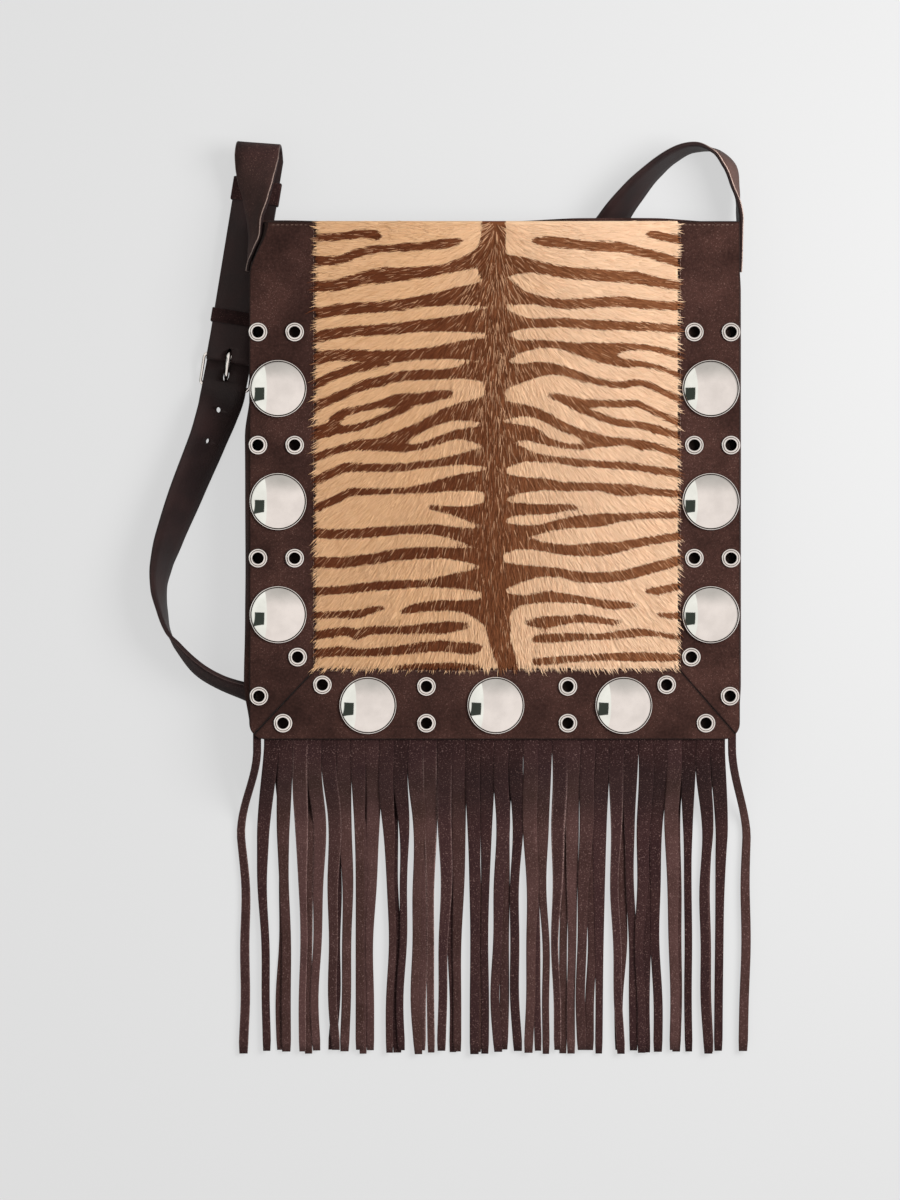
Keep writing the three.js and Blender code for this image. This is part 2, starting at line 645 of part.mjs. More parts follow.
// Gusset: one strip round both sides and the bottom, notched along the bottom for the fringe's header
const headerLeft = bodyLeft + fringeInset;
const headerRight = bodyRight - fringeInset;
const headerTop = frontUnderside - 0.2;
const headerStack = 2 * fringeThickness + 2 * seamGap;
const headerNotch = new THREE.BoxGeometry(
  headerRight - headerLeft + 1, 2 * fringeHeader + 2, 2 * (headerStack + 0.4));
headerNotch.translate((headerLeft + headerRight) / 2, bodyBottom, frontUnderside);
const gusset = pulledPrism(0, mouthY, frontUnderside - seamGap)
  .subtract(pulledPrism(leatherThickness, mouthY + 5, bodyDepth))
  .subtract(underBack(layGap))
  .subtract(toSolid(headerNotch));
addPiece('gusset', toGeometry(gusset), 'suede');

// Lining pouch, open at the mouth
const liningInset = leatherThickness + liningEase;
const liningTop = bodyDepth - liningDrop;
const liningOutside = pulledPrism(liningInset, mouthY - 1, liningTop).subtract(underBack(layGap));
const liningInside = pulledPrism(liningInset + liningThickness, mouthY + 5, liningTop - liningThickness)
  .subtract(underBack(layGap + liningThickness));
addPiece('lining', toGeometry(liningOutside.subtract(liningInside)), 'lining');

// Places of the studs and eyelets on the front
const rowY = (k) => mouthY - firstFittingDrop - k * fittingPitch;
const studPlaces = [];
const eyeletPlaces = [];
for (const side of [-1, 1]) {
  const edge = side < 0 ? bodyLeft : bodyRight;
  for (const k of [1, 3, 5]) studPlaces.push([edge - side * studInset, rowY(k)]);
  for (const k of [0, 2, 4]) {
    eyeletPlaces.push([edge - side * eyeletInset, rowY(k)]);
    eyeletPlaces.push([edge - side * (eyeletInset + eyeletSpacing), rowY(k)]);
  }
}
const cornerEyelets = [[32, 49.4], [8.8, 26], [23.2, bottomEyeletY], [46.8, bottomEyeletY + eyeletSpacing + 1]];
for (const [x, y] of cornerEyelets) {
  eyeletPlaces.push([bodyLeft + x, bodyBottom + y], [bodyRight - x, bodyBottom + y]);
}
for (const k of [-1, 0, 1]) studPlaces.push([bodyCentreX + 0.8 + k * bottomStudPitch, bodyBottom + bottomFittingY]);
for (const side of [-1, 1]) {
  const x = bodyCentreX + 1.6 + side * bottomEyeletOffset;
  eyeletPlaces.push([x, bodyBottom + bottomEyeletY], [x, bodyBottom + bottomEyeletY + eyeletSpacing]);
}

// Border strips, mitred at the lower corners and punched for the fittings
function border(name, corners, contains) {
  const shape = new THREE.Shape(corners.map(([x, y]) => new THREE.Vector2(x, y)));
  const addHole = ([x, y], radius) => {
    if (contains(x, y)) shape.holes.push(new THREE.Path().absarc(x, y, radius, 0, 2 * Math.PI));
  };
  eyeletPlaces.forEach((place) => addHole(place, eyeletBarrelRadius + fittingClearance));
  studPlaces.forEach((place) => addHole(place, studPostRadius + fittingClearance));
  const strip = toSolid(plate(shape, frontUnderside, bodyDepth, 5));
  addPiece(name, toGeometry(strip.intersect(bodyPrism(0, mouthY, 0, bodyDepth + 5))), 'suede');
}
const mitreLeft = (x) => bodyBottom + (x - bodyLeft) * bottomBorderWidth / leftBorderWidth;
const mitreRight = (x) => bodyBottom + (bodyRight - x) * bottomBorderWidth / rightBorderWidth;
const pulledEdge = [];
for (let k = 0; k <= 8; k += 1) {
  const y = mouthY - cornerPullLength * (1 - k / 8);
  pulledEdge.push([bodyLeft + pullAt(y), y]);
}
border('border_left', [
  [bodyLeft, bodyBottom + mitreGap], [hideLeft - seamGap / 2, hideBottom + mitreGap],
  [hideLeft - seamGap / 2, mouthY], ...pulledEdge.reverse(),
], (x, y) => x < hideLeft && y > mitreLeft(x));
border('border_right', [
  [bodyRight, bodyBottom + mitreGap], [bodyRight, mouthY],
  [hideRight + seamGap / 2, mouthY], [hideRight + seamGap / 2, hideBottom + mitreGap],
], (x, y) => x > hideRight && y > mitreRight(x));
border('border_bottom', [
  [bodyLeft + mitreGap, bodyBottom], [bodyRight - mitreGap, bodyBottom],
  [hideRight - mitreGap, hideBottom - seamGap / 2], [hideLeft + mitreGap, hideBottom - seamGap / 2],
], (x, y) => y < mitreLeft(x) && y < mitreRight(x));

const hideEdge = seamGap / 2;
const hideShape = new THREE.Shape([
  new THREE.Vector2(hideLeft + hideEdge, hideBottom + hideEdge),
  new THREE.Vector2(hideRight - hideEdge, hideBottom + hideEdge),
  new THREE.Vector2(hideRight - hideEdge, mouthY),
  new THREE.Vector2(hideLeft + hideEdge, mouthY),
]);
addPiece('hide_panel', plate(hideShape, frontUnderside, frontUnderside + hideThickness), 'hide');

// Turned fittings, as profiles of radius and height above the leather's face
const turned = (profile, segments) => new THREE.LatheGeometry(
  profile.map(([r, z]) => new THREE.Vector2(r, z)), segments).rotateX(Math.PI / 2);
const behind = -leatherThickness - seamGap;
const studProfile = [
  [0, behind - 0.8], [5, behind - 0.8], [5, behind], [studPostRadius, behind],
  [studPostRadius, seamGap], [studRadius, seamGap], [studRadius, 1.1], [studRadius - 1.2, 1.4],
  [studRadius * 0.7, studHeight * 0.6], [studRadius * 0.38, studHeight * 0.9], [0, studHeight],
];
studPlaces.forEach(([x, y], k) => {
  const stud = addPiece(`stud_${k + 1}`, turned(studProfile, 18), 'metal');
  stud.position.set(x, y, bodyDepth);
});
const eyeletProfile = [
  [eyeletBoreRadius, behind - 0.6], [eyeletRadius - 0.8, behind - 0.3], [eyeletBarrelRadius, behind],
  [eyeletBarrelRadius, seamGap], [eyeletRadius, seamGap], [mix(eyeletBoreRadius, eyeletRadius, 0.55), 1.5],
  [eyeletBoreRadius, 0.8], [eyeletBoreRadius, behind - 0.6],
];
eyeletPlaces.forEach(([x, y], k) => {
  const eyelet = addPiece(`eyelet_${k + 1}`, turned(eyeletProfile, 12), 'metal');
  eyelet.position.set(x, y, bodyDepth);
});

// Fringe: strands cut in a strip of leather, falling over the bottom edge to lie on the floor
const wander = (seed) => {
  const value = Math.sin(seed * 12.9898) * 43758.5453;
  return value - Math.floor(value);
};
function strandRows({ x, apart, bow, topWidth }, seed, topZ, layZ, drop) {
  const start = bodyBottom - fringeUncut + 0.4;
  const end = fringeTipY + 3 * wander(seed + 0.3);
  const drift = 2.4 * (wander(seed) - 0.5);
  const wave = 1.6 * (wander(seed + 0.6) - 0.5);
  return [0, 0.06, 0.12, 0.18, 0.25, 0.33, 0.6, 1].map((share) => {
    const y = mix(start, end, share);
    const fall = THREE.MathUtils.clamp((start - 0.6 - y) / drop, 0, 1);
    const spread = apart * smooth(share * 2.5) + bow * smooth(share * 3.2) * (1 - 0.3 * share);
    const centre = vec(x + spread + drift * share + wave * Math.sin(5 * share), y, mix(topZ, layZ, smooth(fall)));
    const slope = 6 * fall * (1 - fall) * (topZ - layZ) / drop;
    const width = mix(topWidth, strandWidth, smooth(share / 0.12));
    return ribbonRow(centre, vec(1, 0, 0), vec(0, -slope, 1).normalize(), width, fringeThickness);
  });
}
function fringeComb(name, strands, topZ, layZ, drop, seed) {
  const header = new THREE.BoxGeometry(
    headerRight - headerLeft - 0.6, fringeHeader + fringeUncut, fringeThickness);
  header.translate((headerLeft + headerRight) / 2, bodyBottom + (fringeHeader - fringeUncut) / 2, topZ);
  const rows = strands.map((strand, k) => strandRows(strand, seed + k, topZ, layZ, drop));
  const comb = rows.reduce((solid, strand) => solid.add(toSolid(loft(strand))), toSolid(header));
  addPiece(name, toGeometry(comb), 'suede');
}
const frontCombZ = headerTop - fringeThickness / 2;
const backCombZ = frontCombZ - fringeThickness - layGap;
const backLayZ = floorGap + fringeThickness / 2;
const frontLayZ = backLayZ + fringeThickness + layGap;
const firstStrand = headerLeft + strandWidth / 2 + 0.6;
const strandPitch = (headerRight - strandWidth / 2 - 0.6 - firstStrand) / (frontStrands - 1);

// Front strands drift together in twos, and a strand of the back comb shows between each two
const frontPlaces = Array.from({ length: frontStrands }, (_, k) => ({
  x: firstStrand + k * strandPitch,
  apart: k % 2 === 0 ? 1 : -1,
  bow: (outerBows[frontStrands - 1 - k] ?? 0) - (outerBows[k] ?? 0),
  topWidth: k > 0 && k < frontStrands - 1 ? strandPitch - 0.4 : strandWidth,
}));
const backPlaces = Array.from({ length: frontStrands / 2 - 1 }, (_, k) => ({
  x: firstStrand + (2 * k + 1.5) * strandPitch,
  apart: 1.6 * (wander(k + 40) - 0.5),
  bow: 0,
  topWidth: strandWidth,
}));
fringeComb('fringe_front', frontPlaces, frontCombZ, frontLayZ, fringeDrop, 11);
fringeComb('fringe_back', backPlaces, backCombZ, backLayZ, fringeDrop - 8, 71);

// The part's origin lies on the floor under the middle of everything
const extent = new THREE.Box3().setFromObject(bag);
const middle = extent.getCenter(vec(0, 0, 0));
bag.position.set(-middle.x, -middle.y, -extent.min.z);

export default bag;
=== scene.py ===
# A fringed shoulder bag of dark suede, with a front panel of striped hair-on hide, domed studs,
# eyelets and a long buckled strap. It lies on its back on a pale table, seen from straight above.
import math

import bpy
import numpy as np
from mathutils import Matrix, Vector
from mathutils.bvhtree import BVHTree


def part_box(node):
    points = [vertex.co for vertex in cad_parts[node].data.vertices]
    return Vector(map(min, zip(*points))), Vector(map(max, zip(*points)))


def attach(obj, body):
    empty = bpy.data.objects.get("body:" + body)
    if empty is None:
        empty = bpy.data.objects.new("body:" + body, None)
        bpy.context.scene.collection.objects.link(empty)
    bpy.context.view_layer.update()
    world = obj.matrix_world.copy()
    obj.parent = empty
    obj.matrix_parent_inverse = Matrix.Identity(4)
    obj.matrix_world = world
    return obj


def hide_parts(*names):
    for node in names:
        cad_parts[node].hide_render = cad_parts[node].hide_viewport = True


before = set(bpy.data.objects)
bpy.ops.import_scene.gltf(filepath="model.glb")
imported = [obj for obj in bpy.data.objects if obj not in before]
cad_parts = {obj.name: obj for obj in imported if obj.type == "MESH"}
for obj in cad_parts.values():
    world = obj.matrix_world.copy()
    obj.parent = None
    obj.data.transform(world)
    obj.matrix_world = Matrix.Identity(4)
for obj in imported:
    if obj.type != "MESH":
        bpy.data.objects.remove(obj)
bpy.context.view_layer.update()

# ----------------------------------------------------------
# Camera: two metres above the bag, looking straight down, with the mouth of the bag at the top.
# Its lens is a long one, so that the bag's sides hardly show.
# ----------------------------------------------------------
camera_height = 2.0
camera_data = bpy.data.cameras.new("camera")
camera_data.lens = 98.25
camera = bpy.data.objects.new("camera", camera_data)
camera.location = (-0.0004, -0.0005, camera_height)
bpy.context.scene.collection.objects.link(camera)
bpy.context.scene.camera = camera

bpy.context.scene.view_settings.view_transform = "Standard"

# ----------------------------------------------------------
# Light: one big soft lamp near the right side, a weaker one on the left and an even pale room.
# Each lamp has its place and its size in metres, and its power in watts.
# ----------------------------------------------------------
for lamp_name, lamp_place, lamp_size, lamp_watts in (
    ("soft_lamp", (0.66, 0.24, 0.75), 0.6, 11.5),
    ("fill_lamp", (-0.9, -0.3, 1.6), 1.2, 1.5),
):
    lamp_data = bpy.data.lights.new(lamp_name, "AREA")
    lamp_data.size = lamp_size
    lamp_data.energy = lamp_watts
    lamp = bpy.data.objects.new(lamp_name, lamp_data)
    lamp.location = lamp_place
    lamp.rotation_euler = (-Vector(lamp_place)).to_track_quat("-Z", "Y").to_euler()
    lamp.visible_glossy = False
    bpy.context.scene.collection.objects.link(lamp)


class Wire:
    """What one node gives out. Sums on it add Math nodes; any other node comes from node()."""

    def __init__(self, tree, end=None):
        self.tree, self.end = tree, end

    def node(self, kind, settings=None, sockets=None, out=0):
        made = self.tree.nodes.new(kind)
        for name, value in (settings or {}).items():
            if name == "stops":
                ramp = made.color_ramp.elements
                while len(ramp) < len(value):
                    ramp.new(0.5)
                for stop, (place, color) in zip(ramp, value):
                    stop.position, stop.color = place, color
            else:
                setattr(made, name, value)
        for name, value in (sockets or {}).items():
            if isinstance(value, Wire):
                self.tree.links.new(value.end, made.inputs[name])
            else:
                made.inputs[name].default_value = value
        return Wire(self.tree, made.outputs[out])

    def math(self, operation, first, second=0.0):
        return self.node("ShaderNodeMath", {"operation": operation}, {0: first, 1: second})

    def __add__(self, other):
        return self.math("ADD", self, other)

    def __sub__(self, other):
        return self.math("SUBTRACT", self, other)

    def __rsub__(self, other):
        return self.math("SUBTRACT", other, self)

    def __mul__(self, other):
        return self.math("MULTIPLY", self, other)

    __radd__, __rmul__ = __add__, __mul__

    def between(self, low, high):
        """0 where this is at low, 1 where it is at high, and smooth between."""
        return self.node("ShaderNodeMapRange", {"interpolation_type": "SMOOTHSTEP"},
                         {"Value": self, "From Min": low, "From Max": high})

    def mixed(self, color_0, color_1):
        """The first colour where this is 0 and the second where it is 1."""
        return self.node("ShaderNodeMix", {"data_type": "RGBA"},
                         {0: self, 6: color_0, 7: color_1}, 2)

    def noise(self, scale, detail=2.0, **more):
        """Cloudy noise that is fixed to the piece, with about scale clouds in a metre."""
        place = self.node("ShaderNodeTexCoord", out=3)
        return self.node("ShaderNodeTexNoise",
                         sockets={"Vector": place, "Scale": scale, "Detail": detail, **more})

    def written(self, name):
        """The number that write_on() has put on a piece's points under a name."""
        return self.node("ShaderNodeAttribute", {"attribute_name": name}, out=2)

    def relief(self, strength, distance, sockets):
        """Makes this the height of a material's bump, which is distance metres deep."""
        feed(self.node("ShaderNodeBump", sockets={"Height": self, "Strength": strength,
                                                  "Distance": distance}), sockets["Normal"])


def paint(red, green, blue):
    """A colour as it looks on screen, 0 to 255, as the light that a material gives back."""
    def light(value):
        value /= 255
        return value / 12.92 if value <= 0.04045 else ((value + 0.055) / 1.055) ** 2.4
    return (light(red), light(green), light(blue), 1)


def new_finish(name, roughness, specular=0.5, metallic=0.0):
    """A material, its shader's sockets and a wire to start its sums from."""
    material = bpy.data.materials.new(name)
    material.use_nodes = True
    shader = material.node_tree.nodes["Principled BSDF"]
    shader.inputs["Roughness"].default_value = roughness
    shader.inputs["Specular IOR Level"].default_value = specular
    shader.inputs["Metallic"].default_value = metallic
    return material, shader.inputs, Wire(material.node_tree)


def feed(wire, socket):
    wire.tree.links.new(wire.end, socket)


# ----------------------------------------------------------
# Table and room: plain and pale grey. The table gives back a little of its own light to the
# camera and in the metal, so that the bag's soft shadow on it stays faint. In the metal the room
# is a white tent, dark below, with one dark card on the left.
# ----------------------------------------------------------
table_grey = 0.77
table_half = 12.0
table_mesh = bpy.data.meshes.new("table")
table_mesh.from_pydata([(x * table_half, y * table_half, 0)
                        for x, y in ((-1, -1), (1, -1), (1, 1), (-1, 1))], [], [(0, 1, 2, 3)])
table = bpy.data.objects.new("table", table_mesh)
bpy.context.scene.collection.objects.link(table)
table_finish, table_sockets, table_wire = new_finish("table", 0.9, 0.0)
table_share = 0.76
table_sockets["Base Color"].default_value = (*(table_grey * (1 - table_share),) * 3, 1)
table_sockets["Emission Color"].default_value = (*(table_grey * table_share,) * 3, 1)
seen = table_wire.node("ShaderNodeLightPath")
seen_in_metal = table_wire.node("ShaderNodeLightPath", out=3)
feed(seen + seen_in_metal, table_sockets["Emission Strength"])
table_mesh.materials.append(table_finish)

room = bpy.data.worlds.new("room")
room.use_nodes = True
bpy.context.scene.world = room
room_wire = Wire(room.node_tree)
room_light = room.node_tree.nodes["Background"].inputs
looked = room_wire.node("ShaderNodeTexCoord")
east, north, height = (room_wire.node("ShaderNodeSeparateXYZ", sockets={0: looked}, out=k)
                       for k in range(3))
in_metal = room_wire.node("ShaderNodeLightPath", out=3)
side_panel = (-1 * east).between(0.50, 0.53)
dark_card = ((-1 * east).between(0.60, 0.62) * (-1 * east).between(0.92, 0.90)
             * north.between(-0.42, -0.40) * north.between(0.10, 0.08))
tent = north.between(0.25, 1.0).mixed((0.98, 0.91, 0.87, 1), (0.58, 0.56, 0.53, 1))
tent = dark_card.mixed(side_panel.mixed(tent, (1.04, 1.06, 1.0, 1)), (0.05, 0.06, 0.05, 1))
tent = height.between(0.14, 0.30).mixed((0.06, 0.05, 0.05, 1), tent)
room_grey = 0.40
plain = room_wire.node("ShaderNodeLightPath").mixed((*(room_grey,) * 3, 1), (*(table_grey,) * 3, 1))
feed(in_metal.mixed(plain, tent), room_light["Color"])

# ----------------------------------------------------------
# Back panel: one soft suede sheet under everything. The strap lies beneath it and props it up, so
# it rises and falls as the solid does; the solid's own height is read and smoothed.
# ----------------------------------------------------------
MM = 0.001
edge_low, edge_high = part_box("border_bottom")
mitre_gap = 0.3
leather = 2.0
left = edge_low.x / MM - mitre_gap
right = edge_high.x / MM + mitre_gap
bottom = edge_low.y / MM
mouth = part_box("border_right")[1].y / MM
front_top = edge_high.z / MM
front_under = front_top - leather
back_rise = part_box("back_panel")[1].y / MM - mouth
corner_radius = 10.0


def add_piece(name, points, faces, finish, body="bag", slot="suede", replaces=()):
    """A piece from points in millimetres. It rides on its body and hides what it replaces."""
    mesh = bpy.data.meshes.new(name)
    mesh.from_pydata((np.asarray(points, float) * MM).tolist(), [], faces)
    mesh.validate()
    mesh.polygons.foreach_set("use_smooth", [True] * len(mesh.polygons))
    for one in finish if isinstance(finish, (list, tuple)) else [finish]:
        mesh.materials.append(one)
    piece = bpy.data.objects.new(name, mesh)
    bpy.context.scene.collection.objects.link(piece)
    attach(piece, body)
    if replaces:
        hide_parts(*replaces)
    return piece


def write_on(piece, name, values):
    """A number for each point of a piece, for its material to read."""
    layer = piece.data.attributes.new(name, "FLOAT", "POINT")
    layer.data.foreach_set("value", np.asarray(values, np.float32).ravel())


def shell(outer, inner, keep=None):
    """Points and faces of a closed skin between two grids of points. A grid cell that keep leaves
    out becomes a hole through the skin."""
    rows, columns = outer.shape[:2]
    keep = np.ones((rows - 1, columns - 1), bool) if keep is None else keep
    points = np.concatenate([outer.reshape(-1, 3), inner.reshape(-1, 3)])
    below = rows * columns
    faces = []
    for i, j in zip(*np.nonzero(keep)):
        a, b = i * columns + j, (i + 1) * columns + j
        c, d = b + 1, a + 1
        faces += [(a, b, c, d), (d + below, c + below, b + below, a + below)]
        sides = (((i, j - 1), a, b), ((i + 1, j), b, c), ((i, j + 1), c, d), ((i - 1, j), d, a))
        for beside, start, end in sides:
            inside = 0 <= beside[0] < rows - 1 and 0 <= beside[1] < columns - 1
            if not (inside and keep[beside]):
                faces.append((end, start, start + below, end + below))
    return points, [tuple(int(k) for k in face) for face in faces]


def ripple(x, y, size, seed):
    """A smooth wandering height between -1 and 1, with hills about size millimetres apart."""
    total = 0
    for k in range(5):
        turn = seed * 1.7 + k * 2.4
        total = total + np.sin((x * math.cos(turn) + y * math.sin(turn)) * 2 * math.pi / size
                               * (0.7 + 0.17 * k) + seed * 5.1 + k)
    return total / 5


def rounded(x, y, inset=0.0):
    """Points beyond the bag's rounded lower corners, brought in to the corner's arc."""
    radius = corner_radius - inset
    low = bottom + corner_radius
    for side, edge in ((-1, left + corner_radius), (1, right - corner_radius)):
        across, down = (x - edge) * side, low - y
        reach = np.hypot(across, down)
        outside = (across > 0) & (down > 0) & (reach > radius)
        scale = np.where(outside, radius / np.maximum(reach, 1e-6), 1)
        x = np.where(outside, edge + side * across * scale, x)
        y = np.where(outside, low - down * scale, y)
    return x, y


def suede(name, colors, nap=0.00022, mottle=26):
    """Suede: a short nap with pale specks and rubbed patches. Colours run from deep to rubbed."""
    material, sockets, wire = new_finish(name, 0.93, 0.1)
    sockets["Sheen Weight"].default_value = 0.06
    sockets["Sheen Roughness"].default_value = 0.6
    patches = wire.noise(mottle, 4.0, Roughness=0.62)
    grain, specks = wire.noise(620.0, 3.0), wire.noise(1500.0, 1.0)
    tone = patches.between(0.32, 0.7) * 0.65 + grain.between(0.3, 0.75) * 0.35
    base = tone.mixed(colors[0], colors[1])
    fleck = specks.between(0.6, 0.76) * patches.between(0.35, 0.6) * 0.6
    seam, rub = wire.written("seam"), wire.written("rub")
    # The wear number paints the rubbed colour: wear, and painted light on the strap's shoulder that
    # faces the lamp
    worn_and_painted_light = (rub * (0.3 + 0.5 * patches)).mixed(fleck.mixed(base, colors[2]), colors[2])
    # The seam number paints edges dark: dark paint on the cut edges, and painted shade in the mitre
    # slits
    feed((seam * 0.85).mixed(worn_and_painted_light, paint(24, 13, 10)), sockets["Base Color"])
    (grain * 0.7 + specks * 0.5 + patches * 1.5).relief(0.55, nap, sockets)
    feed(0.86 + patches * 0.14, sockets["Roughness"])
    return material


body_suede = suede("body_suede", (paint(40, 23, 19), paint(73, 47, 41), paint(124, 94, 85)))


def height_over(node, x, y, missing=0.0):
    """Top of a solid at each place, in millimetres."""
    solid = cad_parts[node].data
    tree = BVHTree.FromPolygons([v.co for v in solid.vertices],
                                [tuple(p.vertices) for p in solid.polygons])
    heights = np.full(x.shape, missing)
    for k in np.ndindex(x.shape):
        hit = tree.ray_cast(Vector((x[k] * MM, y[k] * MM, 1)), Vector((0, 0, -1)))[0]
        if hit is not None:
            heights[k] = hit.z / MM
    return heights


def softened(grid, times):
    """A grid of numbers with each one moved towards its neighbours' mean, several times."""
    for _ in range(times):
        framed = np.pad(grid, 1, mode="edge")
        grid = (framed[:-2, 1:-1] + framed[2:, 1:-1] + framed[1:-1, :-2] + framed[1:-1, 2:]) / 4
    return grid


def crossing(across, up):
    """The places where lines across meet lines up, as two grids."""
    return np.meshgrid(across, up, indexing="ij")


def outermost(grid):
    """True along the four sides of a grid."""
    at_edge = np.ones(grid.shape, bool)
    at_edge[1:-1, 1:-1] = False
    return at_edge


def read_between(grid, i, j):
    """A grid's values at places between its points, counted in cells from its first one."""
    a, b = i.astype(int), j.astype(int)
    u, v = i - a, j - b
    return (grid[a, b] * (1 - u) * (1 - v) + grid[a + 1, b] * u * (1 - v)
            + grid[a, b + 1] * (1 - u) * v + grid[a + 1, b + 1] * u * v)


back_across, back_along = 100, 105
edge_inset = 0.5
edge_drop = 0.5
least_height = 0.05
back_mouth = mouth + back_rise
back_x, back_y = crossing(np.linspace(left, right, back_across + 1),
                          np.linspace(bottom, back_mouth, back_along + 1))
near_x, near_y = rounded(np.clip(back_x, left + edge_inset, right - edge_inset),
                         np.clip(back_y, bottom + edge_inset, back_mouth - edge_inset), edge_inset)
back_top = softened(height_over("back_panel", near_x, near_y, leather), 4)
round_x, round_y = rounded(back_x, back_y)
rolled = edge_drop * outermost(back_x)
wave = 0.25 * ripple(back_x, back_y, 45, 2)
back_upper = np.stack([round_x, round_y, back_top + wave - rolled], -1)
back_under = np.maximum(back_top - leather + wave + rolled, least_height)
back_lower = np.stack([round_x, round_y, back_under], -1)
points, faces = shell(back_upper, back_lower)
add_piece("back_sheet", points, faces, body_suede, replaces=["back_panel"])


def back_height(x, y):
    """Top of the back sheet at places inside the bag's outline."""
    i = np.clip((x - left) / (right - left) * back_across, 0, back_across - 0.001)
    j = np.clip((y - bottom) / (back_mouth - bottom) * back_along, 0, back_along - 0.001)
    return read_between(back_top, i, j)


# ----------------------------------------------------------
# Gusset: one strip of suede round both sides and the bottom, sewn between front and back. It
# bellies out a little, and the strap pulls its upper left corner in.
# ----------------------------------------------------------
corner_pull = 11.0
pull_length = 33.0
pull_foot = 14.0
gusset_rows, gusset_step, gusset_run = 13, 2.5, 950
gusset_foot_gap, seam_gap, hollow = 0.4, 0.3, 0.3
# How far each side bellies out, and how far below the mouth that starts
left_belly, right_belly = (3.6, 100.0), (2.2, 12.0)
belly_fade = 30


def eased(x):
    x = np.clip(x, 0, 1)
    return x * x * (3 - 2 * x)


def pulled(x, y, z):
    """How far the strap draws the left side in at a height and place, towards the mouth."""
    rise = np.clip((z - pull_foot) / (front_under - pull_foot), 0, 1)
    return corner_pull * eased((y - mouth + pull_length) / pull_length) * rise * (x < 0)


def bag_outline(inset):
    """Places round the bag's left side, bottom and right side, as seen from the front."""
    radius = corner_radius - inset
    path = [(left + inset, mouth), (left + inset, bottom + inset + radius)]
    for k in range(1, 9):
        turn = math.pi + k / 8 * math.pi / 2
        path.append((left + inset + radius + radius * math.cos(turn),
                     bottom + inset + radius + radius * math.sin(turn)))
    path += [(left + right - x, y) for x, y in reversed(path)]
    path = np.array(path)
    run = np.concatenate([[0], np.cumsum(np.hypot(*np.diff(path, axis=0).T))])
    steps = np.linspace(0, run[-1], int(run[-1] / gusset_step))
    return np.stack([np.interp(steps, run, path[:, 0]), np.interp(steps, run, path[:, 1])], -1)


def belly(x, y):
    """How far the empty bag's sides lie out past the front's edge, below the strap's run."""
    most, start = left_belly if x < 0 else right_belly
    return most * eased((mouth - start - y) / belly_fade) * eased((y - bottom - 4) / belly_fade)


def gusset_skin(inset):
    """One side of the standing strip between the back sheet and the front, as a grid of points."""
    path = bag_outline(inset)
    share = np.linspace(0, 1, gusset_rows)
    rows = []
    for (x, y), step in zip(path, np.linspace(0, 1, len(path))):
        foot = float(back_height(np.array([x]), np.array([y]))[0]) + gusset_foot_gap
        z = foot + (front_under - seam_gap - foot) * share
        waves = ripple(step * gusset_run, z, 60, 4)
        most = belly(x, y) * (1 + 0.12 * waves) - hollow * (1 + 0.6 * waves)
        swell = np.sin(math.pi * share) * most
        out_x, out_y = np.sign(x) * (y > bottom + corner_radius * 0.5), -float(y <= bottom + 4)
        rows.append(np.stack([x + out_x * swell + pulled(x, y, z), y + out_y * swell, z], -1))
    return np.array(rows)


skins = [gusset_skin(inset) for inset in (0, leather)]
count = min(len(skin) for skin in skins)
skins = [skin[np.linspace(0, len(skin) - 1, count).astype(int)] for skin in skins]
points, faces = shell(*skins)
add_piece("gusset_strip", points, faces, body_suede, replaces=["gusset"])

# ----------------------------------------------------------
# Lining: a dark cloth-like leather pouch inside, open at the mouth, a little loose and creased.
# It stands a little off the gusset and follows it where the corner of the mouth is pulled in.
# ----------------------------------------------------------
lining_inset = 2.8
lining_thickness = 0.8
lining_top = front_top - 5.2
lining_foot_gap = 0.4
lining_rows, lining_columns = 60, 46
lining_colors = paint(32, 24, 21), paint(52, 40, 35), paint(86, 70, 62)
lining_suede = suede("lining_suede", lining_colors, 0.0001, 40)


def pouch(inset, gap, top_z, mouth_y, floor_y):
    """Rings round the inside of the bag from its foot to the mouth."""
    rings = []
    for y in np.linspace(floor_y, mouth_y, lining_rows):
        drawn = max(corner_radius - inset - (y - floor_y), 0)
        side = corner_radius - inset - math.sqrt(max((corner_radius - inset) ** 2 - drawn ** 2, 0))
        low_x, high_x = left + inset + side, right - inset - side
        x = np.linspace(low_x, high_x, lining_columns)
        y_all = np.full(lining_columns, y)
        foot = back_height(x, y_all) + gap
        roll = 2.2 * np.clip(1 - np.minimum(x - low_x, high_x - x) / 3, 0, 1) ** 2
        near_left = np.clip(1 - (x - low_x) / 60, 0, 1)
        inward = pulled(x, y_all, np.full(lining_columns, top_z)) * near_left
        over = np.stack([x + inward, y_all,
                         top_z - roll + 0.35 * ripple(x, y_all, 70, 6) - 0.35], -1)
        under = np.stack([x, y_all, foot + roll + 0.35 * ripple(x, y_all, 50, 8) + 0.35], -1)
        rings.append(np.concatenate([over, under[::-1]]))
    return np.array(rings)


outer = pouch(lining_inset, lining_foot_gap, lining_top, mouth - 1, bottom + lining_inset)
inner = pouch(lining_inset + lining_thickness, lining_foot_gap + lining_thickness,
              lining_top - lining_thickness, mouth - 1, bottom + lining_inset + lining_thickness)
outer, inner = (np.concatenate([skin, skin[:, :1]], 1) for skin in (outer, inner))
points, faces = shell(outer[:, ::-1], inner[:, ::-1])
add_piece("lining_pouch", points, faces, lining_suede, slot="lining", replaces=["lining"])

# ----------------------------------------------------------
# Border strips: suede strips down both sides and along the bottom of the front, mitred at the
# lower corners, with rolled edges and bores for the eyelets, and stitched down beside the hide.
# ----------------------------------------------------------
hide_low, hide_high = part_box("hide_panel")
hide_left, hide_right = hide_low.x / MM - 0.15, hide_high.x / MM + 0.15
hide_bottom = hide_low.y / MM - 0.15
seam = 0.15
bore_clearing = 4.6
border_cell = 1.5
rolled_edge = 1.0


def middle(node):
    low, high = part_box(node)
    return (low.x + high.x) / 2 / MM, (low.y + high.y) / 2 / MM


